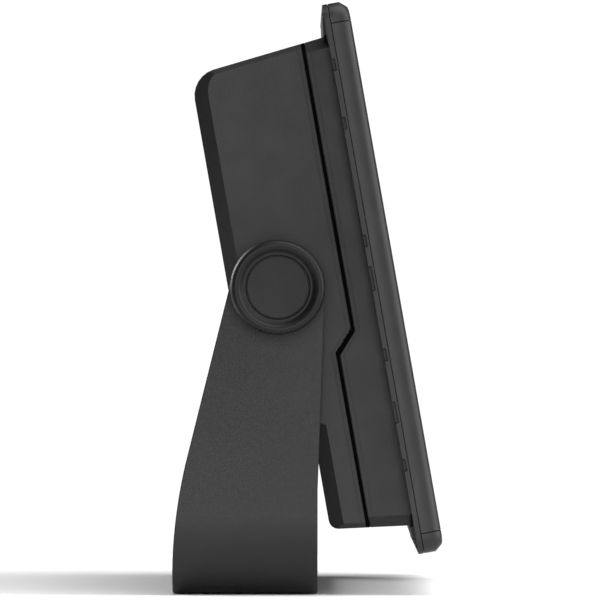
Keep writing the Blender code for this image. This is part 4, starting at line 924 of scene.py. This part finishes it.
# Plain symbols printed on the keys: outlines in millimetres, with X to the right seen from the front
SYMBOLS = {
    "key_previous": [[(1.2, 0.0), (-0.8, 1.2), (-0.8, -1.2)]],
    "key_next": [[(-1.2, 0.0), (0.8, 1.2), (0.8, -1.2)]],
    "key_menu": [rectangle(-1.3, up - 0.17, 1.3, up + 0.17) for up in (-0.8, 0.0, 0.8)],
    "power_button": open_ring(1.0, 1.35, 120.0, 420.0) + [rectangle(-0.17, 0.3, 0.17, 1.6)],
}
SYMBOL_PROUD = 0.02
SYMBOL_SUNK = 0.10

# The cloth over each speaker, in millimetres
CLOTH_MARGIN = 1.0
CLOTH_THICKNESS = 0.2
CLOTH_PROUD = 0.08


def make_symbols():
    for node, outlines in SYMBOLS.items():
        low, high = local_box(node)
        middle = (low + high) / 2
        shape = bmesh.new()
        for outline in outlines:
            rings = [
                [shape.verts.new((middle.x + x * MM, y, middle.z + z * MM)) for x, z in outline]
                for y in (high.y - SYMBOL_SUNK * MM, high.y + SYMBOL_PROUD * MM)
            ]
            solid_between(shape, *rings)
        body = NODES[node]["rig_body"]
        add_piece(node + "_symbol", shape, MARK, body, HEAD)


def make_speaker_cloths():
    margin = CLOTH_MARGIN * MM
    for word in ("left", "right"):
        node = "speaker_" + word
        low, high = local_box(node)
        size = (high.x - low.x - 2 * margin, CLOTH_THICKNESS * MM, high.z - low.z - 2 * margin)
        middle = ((low.x + high.x) / 2, high.y + CLOTH_PROUD * MM, (low.z + high.z) / 2)
        shape = block(middle, size)
        add_piece("speaker_cloth_" + word, shape, MESH_CLOTH, "head", HEAD)


# ---------------------------------------------------------------- screws

# Head radius, head height, shank radius and socket radius in millimetres, and the look
SCREWS = {
    "board_screw": (2.4, 1.6, 1.2, 1.2, STEEL),
    "cover_screw": (2.8, 2.2, 1.4, 1.45, DARK_STEEL),
}
SCREW_STEPS = 36
SOCKET_RIM = 1.18
# Rings down the socket: (depth in millimetres, share of the socket's radius)
SOCKET_RINGS = ((0.0, 1.0), (-0.25, 0.97), (-1.3, 0.97))
HEXAGON_SECTOR = math.radians(60.0)


def hexagon_share(angle):
    """Distance from a hexagon's middle to its edge, as a share of the distance to a corner."""
    return math.cos(HEXAGON_SECTOR / 2) / math.cos(angle % HEXAGON_SECTOR - HEXAGON_SECTOR / 2)


def hex_screw(node, radius, height, shank, socket, material):
    """A round-headed screw with a hexagon socket, in the place of a CAD screw that points forward."""
    low, high = local_box(node)
    centre = (low + high) / 2
    length = (high.y - low.y) / MM
    rear = high.y / MM
    outer = rounded_profile(
        [
            (shank, rear - length, 0.0),
            (shank, rear - height, 0.0),
            (radius, rear - height, 0.15),
            (radius, rear - 0.1, 0.5),
            (socket * SOCKET_RIM, rear, 0.15),
        ],
        3,
    )
    shape = bmesh.new()
    angles = [2 * math.pi * index / SCREW_STEPS for index in range(SCREW_STEPS)]
    rings = []

    def add_ring(radii, y):
        places = [on_circle(reach, angle) for reach, angle in zip(radii, angles)]
        rings.append([shape.verts.new((x, y * MM, z)) for x, z in places])

    for reach, y in outer:
        add_ring([reach] * SCREW_STEPS, y)
    for depth, share in SOCKET_RINGS:
        add_ring([socket * share * hexagon_share(angle) for angle in angles], rear + depth)
    for first, second in zip(rings, rings[1:]):
        wall_between(shape, first, second)
    shape.faces.new(rings[0])
    shape.faces.new(rings[-1])
    bmesh.ops.translate(shape, verts=shape.verts, vec=(centre.x, 0.0, centre.z))
    piece = add_piece(node + "_detail", shape, material, "head", HEAD)
    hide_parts(node)
    smooth(piece, 35.0)


def make_screws():
    for node in sorted(NODES):
        for start, sizes in SCREWS.items():
            if node.startswith(start):
                hex_screw(node, *sizes)


# ---------------------------------------------------------------- carried CAD nodes

# Rounding of the edges in millimetres, its segments, and whether the node leans with the head
ROUNDING = {
    "bail_stand": (0.45, 3, False),
    "rear_cover": (0.0, 0, True),
    "mid_body": (0.28, 2, True),
    "front_frame": (0.22, 2, True),
    "cover_glass": (0.35, 2, True),
    "base_pad": (0.30, 2, False),
    "memory_card": (0.20, 2, True),
    "power_button": (0.35, 3, True),
    "key_menu": (0.35, 3, True),
    "key_previous": (0.35, 3, True),
    "key_next": (0.35, 3, True),
    "usb_socket": (0.12, 2, True),
    "dc_inlet": (0.15, 2, True),
    "outer_washer_left": (0.15, 2, False),
    "outer_washer_right": (0.15, 2, False),
}
SEAL_ROUNDING = 0.1
SEAL_SWELL = 0.28
PICTURE_MARGIN = 6.0


def dress_nodes():
    for name, node in NODES.items():
        dress(node, look_of(name))
    for name, (width, segments, in_head) in ROUNDING.items():
        refined(name, width * MM, segments, in_head)
    refined("housing_seal", SEAL_ROUNDING * MM, 1, swell=SEAL_SWELL * MM)
    glass = bpy.data.objects["cover_glass_shell"]
    low, high = local_box("lcd_panel")
    margin = PICTURE_MARGIN * MM
    dress(glass, screen_glass("cover_glass", high.x - margin, low.z + margin, high.z - margin))


make_camera()
make_floor()
make_world()
make_lights()
dress_nodes()
make_trims()
make_lips()
make_hollow_seals()
make_rim_seats()
make_knobs()
make_screws()
make_symbols()
make_speaker_cloths()
